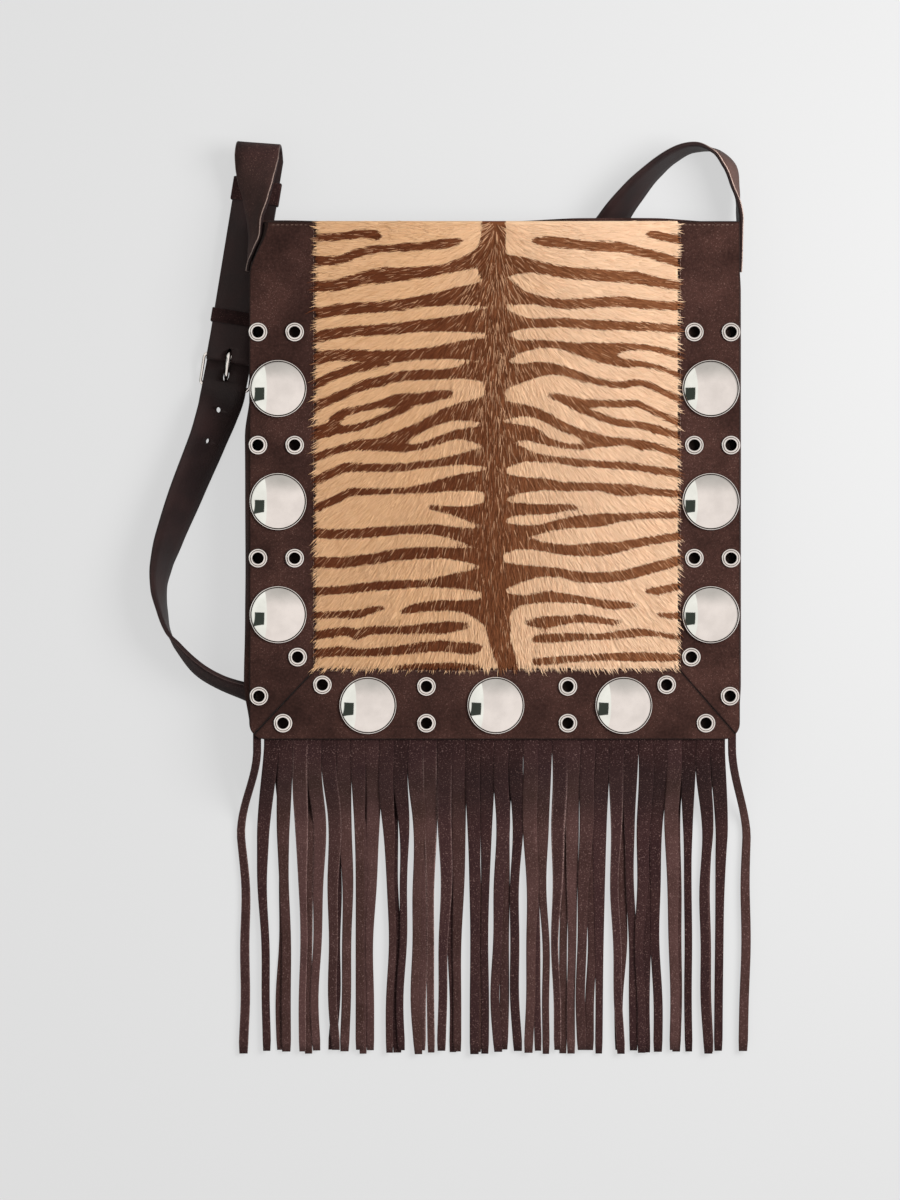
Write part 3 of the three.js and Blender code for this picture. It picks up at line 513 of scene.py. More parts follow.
eyelet_count, stud_count = 24, 9
eyelet_middles = np.array([middle(f"eyelet_{k + 1}") for k in range(eyelet_count)])
stud_middles = np.array([middle(f"stud_{k + 1}") for k in range(stud_count)])


def edge_lines(length):
    """Shares from 0 to 1 across a strip, set close together at its rolled edges."""
    start = np.array([0, 0.12, 0.35, 0.7, 1.2])
    inside = np.linspace(1.2, length - 1.2, max(int(length / border_cell), 2))[1:-1]
    return np.concatenate([start, inside, (length - start)[::-1]]) / length


def border_strip(corners, pull=False):
    """A strip between four corners: outer start, inner start, inner end, outer end."""
    outer_start, inner_start, inner_end, outer_end = (np.array(c) for c in corners)
    run = edge_lines(np.linalg.norm(outer_end - outer_start))
    span = edge_lines(np.linalg.norm(inner_end - outer_end))
    u, v = crossing(run, span)
    blend = [(1 - u) * (1 - v), (1 - u) * v, u * v, u * (1 - v)]
    corners = outer_start, inner_start, inner_end, outer_end
    x, y = (sum(b * c[k] for b, c in zip(blend, corners)) for k in (0, 1))
    lengths = [np.linalg.norm(outer_end - outer_start), np.linalg.norm(inner_end - outer_end)]
    to_edge = np.minimum(np.minimum(u, 1 - u) * lengths[0], np.minimum(v, 1 - v) * lengths[1])
    x, y = rounded(x, y)
    if pull:
        x = x + (1 - v) * corner_pull * eased((y - mouth + pull_length) / pull_length)
    dip = rolled_edge * (1 - np.sqrt(1 - np.clip(1 - to_edge / rolled_edge, 0, 1) ** 2))
    to_stitches = np.abs(v * lengths[1] - (lengths[1] - stitch_inset))
    dip = dip + 0.28 * np.exp(-(to_stitches / 0.7) ** 2)
    swell = 0.3 * (ripple(x, y, 34, 11) + 0.5 * ripple(x, y, 15, 3)) * np.clip(to_edge / 6, 0, 1)
    for places, reach in ((eyelet_middles, 9.0), (stud_middles, 21.0)):
        for cx, cy in places:
            swell = swell - 0.35 * np.clip(1 - np.hypot(x - cx, y - cy) / reach, 0, 1)
    top = np.stack([x, y, front_top - dip + swell - 0.25], -1)
    under = np.stack([x, y, np.full(x.shape, front_under)], -1)
    cx, cy = (0.25 * (g[1:, 1:] + g[:-1, 1:] + g[1:, :-1] + g[:-1, :-1]) for g in (x, y))
    keep = np.ones(cx.shape, bool)
    for ex, ey in eyelet_middles:
        keep &= np.hypot(cx - ex, cy - ey) > bore_clearing
    points, faces = shell(top, under, keep)
    # Dark along every edge: the dark paint of the cut edges, and painted shade in the mitre slits
    # between the strips
    to_mitre = np.minimum(u, 1 - u) * lengths[0]
    edge_paint_and_slit_shade = np.maximum(np.clip(1.2 - to_edge / 0.95, 0, 1), np.clip(1.5 - to_mitre / 1.1, 0, 1))
    return points, faces, np.tile(edge_paint_and_slit_shade.ravel(), 2)


stitch_inset = 1.5
lower_left, lower_right = (left, bottom), (right, bottom)
hide_lower_left = (hide_left - seam, hide_bottom - seam)
hide_lower_right = (hide_right + seam, hide_bottom - seam)
mitre = np.array([0, mitre_gap * 0.3])
for strip_name, strip_corners, strip_pull in (
    ("left", (lower_left + mitre, hide_lower_left + mitre, (hide_left - seam, mouth), (left, mouth)),
     True),
    ("right", (lower_right + mitre, hide_lower_right + mitre, (hide_right + seam, mouth),
               (right, mouth)), False),
    ("bottom", (lower_left, hide_lower_left, hide_lower_right, lower_right), False),
):
    points, faces, edge_paint_and_slit_shade = border_strip(strip_corners, strip_pull)
    if strip_name == "right":
        faces = [face[::-1] for face in faces]
    border = add_piece(f"{strip_name}_border", points, faces, body_suede,
                       replaces=[f"border_{strip_name}"])
    write_on(border, "seam", edge_paint_and_slit_shade)

# Stitches: short lengths of waxed thread, each one a bead sunk at both ends
thread, thread_sockets, thread_wire = new_finish("thread", 0.6, 0.3)
thread_grain = thread_wire.noise(900.0)
thread_color = thread_grain.between(0.35, 0.65).mixed(paint(74, 54, 47), paint(134, 110, 97))
feed(thread_color, thread_sockets["Base Color"])
thread_grain.relief(0.4, 0.0001, thread_sockets)
stitch_pitch = 2.8
stitch_length = 2.0
stitch_radius = 0.26


def stitch_row(start, end, z):
    """Points and faces of a row of stitches between two places."""
    start, end = np.array(start, float), np.array(end, float)
    run = np.linalg.norm(end - start)
    heading = (end - start) / run
    across = np.array([-heading[1], heading[0]])
    points, faces = [], []
    for distance in np.arange(stitch_pitch / 2, run - stitch_pitch / 2, stitch_pitch):
        base = len(points)
        for share in np.linspace(0, 1, 6):
            arch = math.sin(math.pi * share)
            middle_at = start + heading * (distance + (share - 0.5) * stitch_length)
            for k in range(6):
                turn = k / 6 * 2 * math.pi
                side = math.cos(turn) * stitch_radius * (0.45 + 0.55 * arch)
                rise = math.sin(turn) * stitch_radius + arch * 0.22
                points.append((*(middle_at + across * side), z + rise))
        for i in range(5):
            for k in range(6):
                a, b = base + i * 6 + k, base + i * 6 + (k + 1) % 6
                faces.append((a, b, b + 6, a + 6))
        faces.append(tuple(base + k for k in range(5, -1, -1)))
        faces.append(tuple(base + 30 + k for k in range(6)))
    return points, faces


for row_name, row_start, row_end in (
    ("left", (hide_left - stitch_inset, hide_bottom), (hide_left - stitch_inset, mouth - 2)),
    ("right", (hide_right + stitch_inset, hide_bottom), (hide_right + stitch_inset, mouth - 2)),
    ("bottom", (hide_left, hide_bottom - stitch_inset), (hide_right, hide_bottom - stitch_inset)),
    ("upper_left", (left + corner_pull + 2, mouth - 2.4), (hide_left - 3, mouth - 2.4)),
    ("upper_right", (hide_right + 3, mouth - 2.4), (right - 2, mouth - 2.4)),
):
    points, faces = stitch_row(row_start, row_end, front_top - 0.45)
    add_piece(f"{row_name}_stitches", points, faces, thread)

# ----------------------------------------------------------
# Hide panel: short-haired calf, printed with a plain striped coat. The hair grows down from the
# top of a dark line along the middle and fans out to both sides, and hangs over the borders.
# ----------------------------------------------------------
# Each stripe runs through places given as millimetres from the hide's left side, millimetres
# below its top edge and half its width there. The first is the dark line down the middle.
coat_stripes = [
    "107 -5 6.9  106 11.5 7.5  105 24.5 9  108 41.5 6.9  108 65.5 6.3  108 83.5 7.2  "
    "107 107.5 6.3  106 125.5 6.9  108 149.5 6.3  107 179.5 7.2  105 203.5 7.2  107 227.5 7.8  "
    "109 239.5 8.1  110 251.5 6.3  114 263.5 6  116 273 5.7",
    "-5 10 2.1  14 9.5 2.5  27 8 2.4  35 8.5 3  38 9 1.2",
    "-5 24 3  14 23.5 2.4  26 19 2.4  38 17 2.1  50 16 2.3  62 15.5 2.4  74 14 3  83 13 2.4  "
    "87 12 0.9",
    "-5 39.5 3  14 38.5 3.3  26 35 3.9  38 33 4.5  50 32 4.2  62 31 3.6  74 29.5 3  "
    "86 26.5 3.6  99 22 5.4",
    "-5 56 3.3  14 53.5 3.5  32 52 3.3  50 50.5 3.3  62 48.5 3.3  74 47 4.2  86 45 5.4  "
    "101 44 7.2",
    "-5 71.5 3  14 67 3.3  38 65.5 3.3  62 63 3.6  80 62 4.5  101 60 7.2",
    "-5 83 4.2  14 80.5 3.3  30 81.5 3.6  38 82 4.2  50 81 3.6  62 80 3.2  74 79 3.9  "
    "86 77.5 5.4  102 77.5 7.2",
    "-5 101 3  8 94 2.7  20 89.5 2.7  32 86.5 3  42 84 3",
    "-5 114 3  8 107.5 2.7  20 102.5 2.5  29 98.5 3  38 96.5 2.9  50 93.5 3  62 92.5 3  "
    "77 92 3  89 90.5 4.2  102 90 6.6",
    "11 120 3.6  17 115 2.4  26 113 1.8  38 110 2.4  50 107.5 3.9  62 107 3.6  74 104.5 3  "
    "80 104 2.4",
    "-5 129 3.9  8 125 4.2  17 125 2.1  26 123.5 2.1  38 119 2.1  47 115 2.1  54 111.5 3",
    "-5 143.5 2.4  14 137 2.1  26 134.5 3  38 134 3.9  50 130 4.2  62 124 3  74 118 3.9  "
    "86 114.5 5.1  102 113.5 7.8",
    "40 135 3  50 136 2.7  62 135.5 1.8  74 131.5 2.4  86 128 3  102 129 6",
    "-5 158 2.4  8 152 2.7  17 148 2.7  26 148 2.4  50 148 2.4  62 146.5 2.2  74 145 2.4  "
    "86 143 3.3  102 141.5 6",
    "-5 174 2.4  11 167.5 2.4  20 163 2.4  29 162.5 2  50 162 1.8  62 161 2.6  74 159 3.6  "
    "86 157 4.8  102 156 6.6",
    "69 172 1.5  77 173 2.1  86 174.5 3.3  95 176 5.4  104 175 7.2",
    "-5 187 3  14 188 2.8  38 186.5 3  50 185.5 2.5  62 185 2.8  74 185.5 3.2  86 188 3.9  "
    "102 191 7.2",
    "-5 204.5 3.2  14 205 3.3  32 203 3  44 201 3.3  56 199.5 3.6  74 199 3.3  86 200 3.9  "
    "102 201.5 6",
    "-5 222.5 2.8  14 221.5 2.4  32 219.5 2.7  50 218 2.7  65 217.5 2.2  77 216.5 3.6  "
    "89 215.5 5.4  102 215.5 7.8",
    "-5 237 2.2  14 236 1.9  24 236 2.4  33 233.5 2.1  41 232 0.9",
    "51 234.5 1.2  57 233 2.4  68 231 3  86 231 3.3  98 233 6  105 234.5 9.6",
    "-5 249.5 2.7  14 246.5 2.6  20 246.5 2.7  25 248 3  33 245.5 2.5  50 245.5 2.3  "
    "65 244.5 3  77 244 3.4  86 243 2.7  91 243 1.2",
    "-5 260.5 2.6  14 258 3  23 259 2.3  38 258.5 2.4  50 257.5 2.8  62 256 3  74 255 3.3  "
    "86 256 3.3  93 256.5 3.6  98 256 1.8",
    "49 268 1.2  62 267.5 2.1  83 267.5 2.4  97 268 1.5",
    "199 8 1.5  204 8.5 2.4  211 10 2.4  222 12 2.7",
    "131 12 1.5  137 12.5 2.9  146 13 3.2  164 15 2.9  182 16 3  194 18.5 2.6  206 21.5 2.8  "
    "222 26.5 2.7",
    "112 27 7.2  122 26.5 5.1  134 28 3.4  146 30.5 3.3  164 32 3.6  182 33.5 3.4  "
    "194 34.5 3.6  206 37 2.7  222 40 2.4",
    "112 42 8.4  122 45.5 4.8  131 47 3  140 49 2.6  151 50 3  170 49 3  185 48.5 3.3  "
    "197 50 2.8  222 51.5 2.4",
    "112 60.5 7.8  122 61 4.2  131 61.5 2.8  146 61 2.8  170 62.5 2.9  194 63.5 2.6  "
    "222 65 2.4",
    "112 76 8.4  122 75.5 3.9  134 74 2.4  146 74.5 2.3  158 77 3.6  170 78 4.8  177 77.5 4.2  "
    "185 75.5 2.4  197 76 1.7  206 77.5 1.8  222 82 2.1",
    "161 78.5 3  170 82 3  179 84 3  188 85.5 2.3  197 86 1.7  206 88.5 1.4  222 94 1.8",
    "112 93 8.4  122 91.5 5.7  134 89 4.5  146 89.5 3  158 93.5 2.4  170 96.5 2  182 98.5 2.1  "
    "192 97 1.9  200 98.5 1.9  207 102 1.9  222 109 2.1",
    "140 104.5 1.2  146 106 2.4  153 108.5 3.3  161 110 3  170 109.5 2.1  182 110 2.2  "
    "191 109.5 2  200 113 1.9  222 123.5 2.1",
    "155 111 2.4  164 115 2.1  173 118.5 2.1  182 121 2.2  194 122.5 2.3  203 125 2.5  "
    "222 130 2.1",
    "111 113.5 6  122 113.5 3.9  131 115 3  140 119 3  147 123 3  157 127 2.4  165 131 4.5  "
    "175 132.5 3  185 132.5 2.3  194 134.5 3  203 135.5 2.1  222 141.5 2.4",
    "111 128 7.2  122 127 4.8  130 128 4.2  137 131.5 2.7  145 134 1.9  155 135.5 1.8  "
    "165 134.5 2.1",
    "111 140.5 8.4  121 140 5.4  129 141.5 3  139 143 2.1  146 143.5 2  156 145 2.5  "
    "170 146 1.9  185 147 2.4  197 148.5 1.9  206 150 2.4  222 152.5 2.4",
    "111 159 7.8  122 158.5 5.1  137 158 3.6  149 159.5 2.7  170 159.5 2.4  179 161 3.3  "
    "187 161.5 3.8  195 161.5 2.5  206 163 2.1  222 164 2.4",
    "111 173.5 6  122 173 3.6  139 173 3  149 172 2.1  157 172 1.2",
    "111 186.5 6  122 186.5 4.2  134 185 2.8  146 182 3  158 180.5 3.7  170 179.5 3.9  "
    "182 178 2.6  194 177 2  206 176.5 2  222 176 2.1",
    "111 192 7.8  122 193 3.9  134 195 2.8  146 197 3  158 197.5 3.5  170 197 4.1  "
    "182 195.5 3.1  194 193 2.6  222 188.5 2.3",
    "111 213 8.4  122 211.5 5.4  134 210.5 3.3  146 211 2.6  157 213.5 3  170 214 3.2  "
    "185 212.5 3.2  197 209.5 3.1  222 202.5 3",
    "199 222 1.5  204 222 2.5  211 220.5 2.3  222 218.5 2.1",
    "111 230 7.2  120 228 3.9  128 227 2.7  139 225.5 3.4  147 226 3  161 227.5 2.1  "
    "173 230 2.6  182 230.5 2.4  192 230.5 1.1",
    "126 241 1.2  132 241 2.7  140 240.5 3.6  150 239.5 2.3  158 238.5 2.4  170 239.5 2  "
    "177 240.5 1.8  182 240.5 1.2",
    "205 236.5 1.1  210 236.5 1.7  222 237.5 2.1",
    "130 251.5 1.5  135 250.5 2.6  146 250 2.6  158 249.5 2.2  169 249.5 1.8  179 248.5 2.3  "
    "194 247 2.4  205 248 1.6  222 250.5 1.7",
    "131 264.5 1.8  138 264 2.3  158 262.5 2  176 261.5 2.2  194 261.5 2.8  222 262 1.9",
]


def coat_field(cell):
    """On a grid over the hide and a little beyond, how far each place is outside the stripes."""
    x = np.arange(-6, hide_right - hide_left + 6, cell)
    y = np.arange(-3, mouth - hide_bottom + 8, cell)
    gx, gy = (g.ravel() for g in crossing(x, y))
    field = np.full(gx.shape, 99.0)
    for stripe in coat_stripes:
        knots = np.array(stripe.split(), float).reshape(-1, 3)
        knots = np.concatenate([2 * knots[:1] - knots[1:2], knots, 2 * knots[-1:] - knots[-2:-1]])
        smooth = []
        for p0, p1, p2, p3 in zip(knots, knots[1:], knots[2:], knots[3:]):
            for t in (0, 1 / 3, 2 / 3):
                smooth.append(0.5 * (2 * p1 + (p2 - p0) * t + (2 * p0 - 5 * p1 + 4 * p2 - p3) * t * t
                                     + (3 * p1 - p0 - 3 * p2 + p3) * t ** 3))
        smooth.append(knots[-2])
        for a, b in zip(smooth, smooth[1:]):
            low, high = np.minimum(a, b) - 16, np.maximum(a, b) + 16
            near = (gx > low[0]) & (gx < high[0]) & (gy > low[1]) & (gy < high[1])
            run = b[:2] - a[:2]
            share = ((gx[near] - a[0]) * run[0] + (gy[near] - a[1]) * run[1]) / max(run @ run, 1e-9)
            share = np.clip(share, 0, 1)
            reach = np.hypot(gx[near] - a[0] - share * run[0], gy[near] - a[1] - share * run[1])
            field[near] = np.minimum(field[near], reach - a[2] - (b[2] - a[2]) * share)
    return x, y, field.reshape(len(x), len(y))


coat_cell = 0.8
coat_x, coat_y, coat = coat_field(coat_cell)


def coat_at(x, y):
    """The coat's field at places in the bag's millimetres."""
    i = np.clip((x - hide_left - coat_x[0]) / coat_cell, 0, len(coat_x) - 1.001)
    j = np.clip((mouth - y - coat_y[0]) / coat_cell, 0, len(coat_y) - 1.001)
    return read_between(coat, i, j)


def hair_finish(name, loose):
    """Hair coloured by which side of a stripe's edge it is on; each hair has its own shade."""
    material, sockets, wire = new_finish(name, 0.62, 0.25)
    edge, shade, side, ridge = (wire.written(name) for name in ("edge", "shade", "side", "ridge"))
    grain, drift = wire.noise(700.0, 3.0), wire.noise(22.0)
    # The side number paints the coat paler towards the right: painted light from the lamp on that
    # side
    light = side.mixed(paint(214, 171, 131), paint(230, 194, 160))
    gold = side.mixed(paint(222, 178, 134), paint(242, 206, 172))
    pale = (shade * 0.55 + drift * 0.45).between(0.15, 0.85).mixed(light, gold)
    tawny = side.mixed(paint(176, 126, 80), paint(198, 152, 112))
    pale = (shade.between(0.68, 0.95) * 0.5).mixed(pale, tawny)
    dark = side.mixed(paint(105, 55, 28), paint(148, 94, 60))
    darkest = side.mixed(paint(82, 38, 14), paint(102, 56, 28))
    deep = (shade * 0.7 + grain * 0.3).between(0.1, 0.8).mixed(darkest, dark)
    strays = (shade + ridge * 0.24).between(0.84, 0.97) * 0.65
    deep = strays.mixed(deep, paint(202, 158, 122))
    ragged = edge + (shade - 0.5) * loose
    feed(ragged.between(-0.3, 0.35).mixed(deep, pale), sockets["Base Color"])
    grain.relief(0.3, 0.0001, sockets)
    return material


def painted_side_light(x):
    """Painted light: the coat is painted paler towards the right, where its hair leans away from the
    lamp.
    """
    return eased((x - hide_left) / (hide_right - hide_left) * 1.6 - 0.35)


skin_inset = 0.15
# Heights of the hide's skin, and of a hair's root, middle and tip at its lowest
skin_level, root_level, mid_level, tip_level = 35.7, 35.95, 36.05, 36.1
skin_x, skin_y = crossing(np.linspace(hide_left + skin_inset, hide_right - skin_inset, 130),
                          np.linspace(hide_bottom + skin_inset, mouth, 160))
skin_z = skin_level + 0.25 * ripple(skin_x, skin_y, 40, 9) - 0.6 * outermost(skin_x)
points, faces = shell(np.stack([skin_x, skin_y, skin_z], -1),
                      np.stack([skin_x, skin_y, np.full(skin_x.shape, front_under)], -1))
hide_skin = add_piece("hide_skin", points, faces, hair_finish("coat_skin", 0.6), slot="hide",
                      replaces=["hide_panel"])
write_on(hide_skin, "edge", np.tile(coat_at(skin_x, skin_y).ravel(), 2))
write_on(hide_skin, "side", np.tile(painted_side_light(skin_x).ravel(), 2))
skin_shade = 0.5 + 0.3 * ripple(skin_x, skin_y, 3.1, 5)
write_on(hide_skin, "shade", np.tile(skin_shade.ravel(), 2))

chance = np.random.default_rng(11)
hair_count = 34000
root_x = chance.uniform(hide_left + 0.3, hide_right - 0.3, hair_count)
root_y = chance.uniform(hide_bottom + 0.3, mouth - 0.8, hair_count)
parting = hide_left + 108
fan = 2.2
flow_x, flow_y = fan * (root_x - parting), -(mouth - root_y) - 2.0
turn = np.arctan2(flow_y, flow_x) + chance.normal(0, 0.13, hair_count)
hair_length = chance.uniform(4.5, 8.5, hair_count)
over_edge = 10.0
clump = (0.5 + 0.5 * ripple(root_x, root_y, 5.5, 13)) ** 1.3
for to_edge, pace in (
    (root_x - hide_left, -np.cos(turn)),
    (hide_right - root_x, np.cos(turn)),
    (root_y - hide_bottom, -np.sin(turn)),
):
    allowed = to_edge + over_edge * chance.uniform(0.1, 1, hair_count) * clump
    most = allowed / np.maximum(pace, 1e-3)
    hair_length = np.minimum(hair_length, np.where(pace > 0, most, 99))
heading = np.stack([np.cos(turn), np.sin(turn), np.zeros(hair_count)], -1)
sideways = np.stack([-np.sin(turn), np.cos(turn), chance.uniform(-0.45, 0.45, hair_count)], -1)
curl = chance.normal(0, 0.06, hair_count)
root = np.stack([root_x, root_y, np.full(hair_count, root_level)], -1)
bow = np.stack([-np.sin(turn), np.cos(turn), np.zeros(hair_count)], -1)
bow = bow * (curl * hair_length)[:, None]
lift = chance.uniform(0.35, 0.95, hair_count)
mid = root + heading * (hair_length * 0.5)[:, None] + bow * 0.4
mid[:, 2] = mid_level + lift * 0.7
tip = root + heading * hair_length[:, None] + bow
tip[:, 2] = tip_level + lift * 0.75
root_half, mid_half = 0.24, 0.2
strand_points = np.stack([root - sideways * root_half, root + sideways * root_half,
                          mid + sideways * mid_half, mid - sideways * mid_half, tip], 1)
first = np.arange(hair_count) * 5
quads = np.stack([first, first + 1, first + 2, first + 3], -1).tolist()
tips = np.stack([first + 3, first + 2, first + 4], -1).tolist()
coat_hair = add_piece("coat_hair", strand_points.reshape(-1, 3), quads + tips,
                      hair_finish("coat_hair", 1.5), slot="hide")
write_on(coat_hair, "edge", coat_at(strand_points[..., 0], strand_points[..., 1]))
ridge_share = np.exp(-((root_x - parting) / 17) ** 2) * eased((root_y - mouth + 215) / 130)
write_on(coat_hair, "ridge", np.repeat(ridge_share, 5))
write_on(coat_hair, "side", painted_side_light(strand_points[..., 0]))
write_on(coat_hair, "shade", np.repeat(chance.uniform(0, 1, hair_count), 5))

# ----------------------------------------------------------
# Studs: nine low domes pressed from thin sheet and plated bright, each in a raised rim, held by
# prongs through the border. The metal is nearly a mirror, with fine rubbed scratches.
# ----------------------------------------------------------


def plated(name, tint, roughness):
    material, sockets, wire = new_finish(name, roughness, 0.5, 1.0)
    cloud = wire.noise(90.0, 4.0)
    worn = paint(*(t - 14 for t in tint))
    feed(cloud.between(0.25, 0.75).mixed(worn, paint(*tint)), sockets["Base Color"])
    feed(roughness * 0.7 + cloud * roughness * 0.5, sockets["Roughness"])
    wire.noise(1400.0).relief(0.05, 0.00005, sockets)
    return material


bright = plated("bright_plate", (236, 233, 230), 0.05)
# A dark plate for grooves and bores: painted shade in the hollows of the metal
recess_shade_metal = plated("painted_recess_shade", (70, 64, 58), 0.5)


def turned(profile, centre, foot, segments, closed):
    """Points and faces of a profile of radii and heights turned about an upright axis."""
    points, faces = [], []
    for k in range(segments):
        turn = k / segments * 2 * math.pi
        for radius, height in profile:
            points.append((centre[0] + radius * math.cos(turn), centre[1] + radius * math.sin(turn),
                           foot + height))
    count = len(profile)
    for k in range(segments):
        here, there = k * count, (k + 1) % segments * count
        for i in range(count if closed else count - 1):
            j = (i + 1) % count
            faces.append((here + i, there + i, there + j, here + j))
    return points, faces


def darken(piece, face_count, steps, dark_steps):
    """Gives the dark metal, a painted shade, to some of the steps of a turned profile."""
    if len(piece.data.polygons) == face_count:
        dull = [int(i % steps in dark_steps) for i in range(face_count)]
        piece.data.polygons.foreach_set("material_index", dull)


dome_radius, dome_foot, dome_height = 16.0, 1.9, 5.3
ball = (dome_radius ** 2 + dome_height ** 2) / (2 * dome_height)
# Radii and heights above the front, from the stud's foot out and up to the groove round its dome
rim_profile = [(0.02, 0.3), (17.0, 0.3), (17.18, 0.5), (17.2, 0.9), (17.1, 1.3), (16.9, 1.5),
               (16.65, 1.5), (16.45, 1.2), (16.35, 0.8), (16.1, 0.8)]
# The groove between the rim and the dome gets the dark plate: painted shade in the groove
groove_steps = (7, 8, 9)
stud_segments, eyelet_segments = 72, 40
dome_profile = [(r, dome_foot + dome_height - ball + math.sqrt(ball ** 2 - r ** 2))
                for r in dome_radius * np.sin(np.linspace(math.pi / 2, 0.001, 18))]
for k, centre in enumerate(stud_middles):
    points, faces = turned(rim_profile + dome_profile, centre, front_top, stud_segments, False)
    dome = add_piece(f"dome_{k + 1}", points, faces, [bright, recess_shade_metal], slot="metal",
                     replaces=[f"stud_{k + 1}"])
    darken(dome, len(faces), len(rim_profile + dome_profile) - 1, groove_steps)

# ----------------------------------------------------------
# Eyelets: plated rings rolled over the edge of each bore, with a barrel down through the leather.
# Inside the bore and in the groove between the two rings the metal is painted dark: painted shade in
# these hollows.
# ----------------------------------------------------------
# An outer ring, a groove, an inner ring and the barrel, back to the outer ring's foot
ring_profile = [(5.6, 0.3), (5.6, 0.8), (5.5, 0.95), (5.0, 0.98), (4.88, 0.9), (4.8, 0.5),
                (4.5, 0.5), (4.42, 1.2), (4.32, 1.32), (3.6, 1.35), (3.44, 1.26), (3.36, 0.9),
                (3.3, 0.3), (3.25, -2.6), (3.9, -2.6), (4.0, 0.3)]
bore_steps = (5, 11, 12, 13, 14)
for k, centre in enumerate(eyelet_middles):
    points, faces = turned(ring_profile, centre, front_top, eyelet_segments, True)
    ring = add_piece(f"ring_{k + 1}", points, faces, [bright, recess_shade_metal], slot="metal",
                     replaces=[f"eyelet_{k + 1}"])
    darken(ring, len(faces), len(ring_profile), bore_steps)

# ----------------------------------------------------------
# Fringe: two combs of strands cut in strips of the same suede and sewn into the bottom seam. The
# strands drop over the edge and lie on the table, each a little turned, with paler cut edges.
# ----------------------------------------------------------
strand_thickness = 1.2
strand_width = 4.9
fringe_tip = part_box("fringe_front")[0].y / MM
header_inset = 1.6
comb_top = front_under - 0.2 - strand_thickness / 2
comb_gap = 0.4
floor_gap = 0.1
back_lay = floor_gap + strand_thickness / 2
front_lay = back_lay + strand_thickness + comb_gap
front_strands = 34
outer_bows = (13, 7, 4, 1.5)
first_strand = left + header_inset + strand_width / 2 + 0.6
strand_pitch = (right - left - 2 * header_inset - strand_width - 1.2) / (front_strands - 1)


def wander(seed):
    value = math.sin(seed * 12.9898) * 43758.5453
    return value - math.floor(value)


def fringe_suede():
    material, sockets, wire = new_finish("fringe_suede", 0.92, 0.1)
    sockets["Sheen Weight"].default_value = 0.05
    # The shade number is each strand's own tone, painted darker near the seam as painted shade under
    # the border
    shade, rim = wire.written("shade"), wire.written("rim")
    cloud, specks = wire.noise(60.0, 4.0), wire.noise(1300.0)
    stops = ((0.0, paint(34, 20, 20)), (0.35, paint(54, 34, 35)), (0.7, paint(60, 41, 35)),
             (1.0, paint(74, 51, 49)))
    deep = wire.node("ShaderNodeValToRGB", {"stops": stops}, {"Fac": shade})
    worn_and_painted_light = shade.mixed(paint(48, 29, 28), paint(94, 67, 64))
    base = (cloud.between(0.3, 0.7) * 0.5 + specks.between(0.35, 0.7) * 0.5).mixed(deep, worn_and_painted_light)
    broken = rim.between(0.6, 1.0) * (0.15 + specks.between(0.42, 0.6) * 0.75)
    worn = (broken * shade.between(0.1, 0.6)).mixed(base, paint(160, 130, 124))
    flecked = (specks.between(0.58, 0.74) * 0.5).mixed(worn, paint(150, 120, 114))
    feed(flecked, sockets["Base Color"])
    (specks + cloud).relief(0.5, 0.0002, sockets)
    feed(0.84 + cloud * 0.16, sockets["Roughness"])
    return material


strand_rows = 34
strand_header = 7.5
strand_section = np.array([(-0.5, -0.1), (-0.49, 0.34), (-0.42, 0.5), (-0.2, 0.46), (0, 0.44),
                           (0.2, 0.46), (0.42, 0.5), (0.49, 0.34), (0.5, -0.1), (0.47, -0.5),
                           (-0.47, -0.5)])
strand_rim = np.array([1.0, 1.0, 0.9, 0, 0, 0, 0.9, 1.0, 1.0, 0.5, 0.5])


def strand(x, apart, bow, top_width, seed, top_z, lay_z, drop, raised):
    """One strand as rings of points, from under the border to its tip on the table."""
    start = bottom - 4 + 0.4
    end = fringe_tip + 3 * wander(seed + 0.3)
    drift = 4.4 * (wander(seed) - 0.5)
    wave = 3.0 * (wander(seed + 0.6) - 0.5)
    slit_start, slit_end = 0.02 + 0.16 * wander(seed + 0.2), 0.3 + 0.45 * wander(seed + 0.45)
    body_width = strand_width + 1.5 * (wander(seed + 0.75) - 0.35)
    roll = (wander(seed + 0.9) - 0.5) * 16
    rings = []
    upper, lower = np.linspace(0, 0.33, 14), np.linspace(0.33, 1, strand_rows - 14)[1:]
    for s in np.concatenate([[-1], upper, lower]):
        y = start + (end - start) * s if s >= 0 else start + strand_header
        s = max(s, 0)
        fall = min(max((start - 0.6 - y) / drop, 0), 1)
        spread = apart * eased((s - slit_start) * 3) + bow * eased(s * 3.2) * (1 - 0.3 * s)
        waver = math.sin(6.3 * s + seed) * eased(s * 4) + 0.4 * math.sin(17 * s)
        cx = x + spread + drift * eased(s * 1.4) + wave * waver
        cz = top_z + raised * 0.12 + (lay_z + raised * 0.88 - top_z) * eased(fall)
        slope = 6 * fall * (1 - fall) * (top_z - lay_z) / drop
        width = top_width + (body_width - top_width) * eased((s - slit_start) / slit_end)
        tilt = math.radians(roll * eased(s * 3) * math.sin(2.2 * s + seed))
        across = np.array([math.cos(tilt), 0, math.sin(tilt)])
        up = np.array([0, -slope, 1.0]) / math.hypot(slope, 1)
        up = up - across * (up @ across)
        side, rise = strand_section[:, :1] * width, strand_section[:, 1:] * strand_thickness
        middle = np.array([cx, y, cz])
        rings.append(middle + side * across + rise * up)
    rings[-1] = rings[-1] + (middle - rings[-1]) * np.array([0.12, 0, 0.25])
    return np.array(rings)


def lofted(rings, caps=True):
    """Points and faces of a skin through closed rings, with its ends closed."""
    count = rings.shape[1]
    points = rings.reshape(-1, 3)
    faces = []
    for i in range(len(rings) - 1):
        for k in range(count):
            a, b = i * count + k, i * count + (k + 1) % count
            faces.append((a, b, b + count, a + count))
    if caps:
        faces.append(tuple(range(count - 1, -1, -1)))
        faces.append(tuple((len(rings) - 1) * count + k for k in range(count)))
    return points, faces


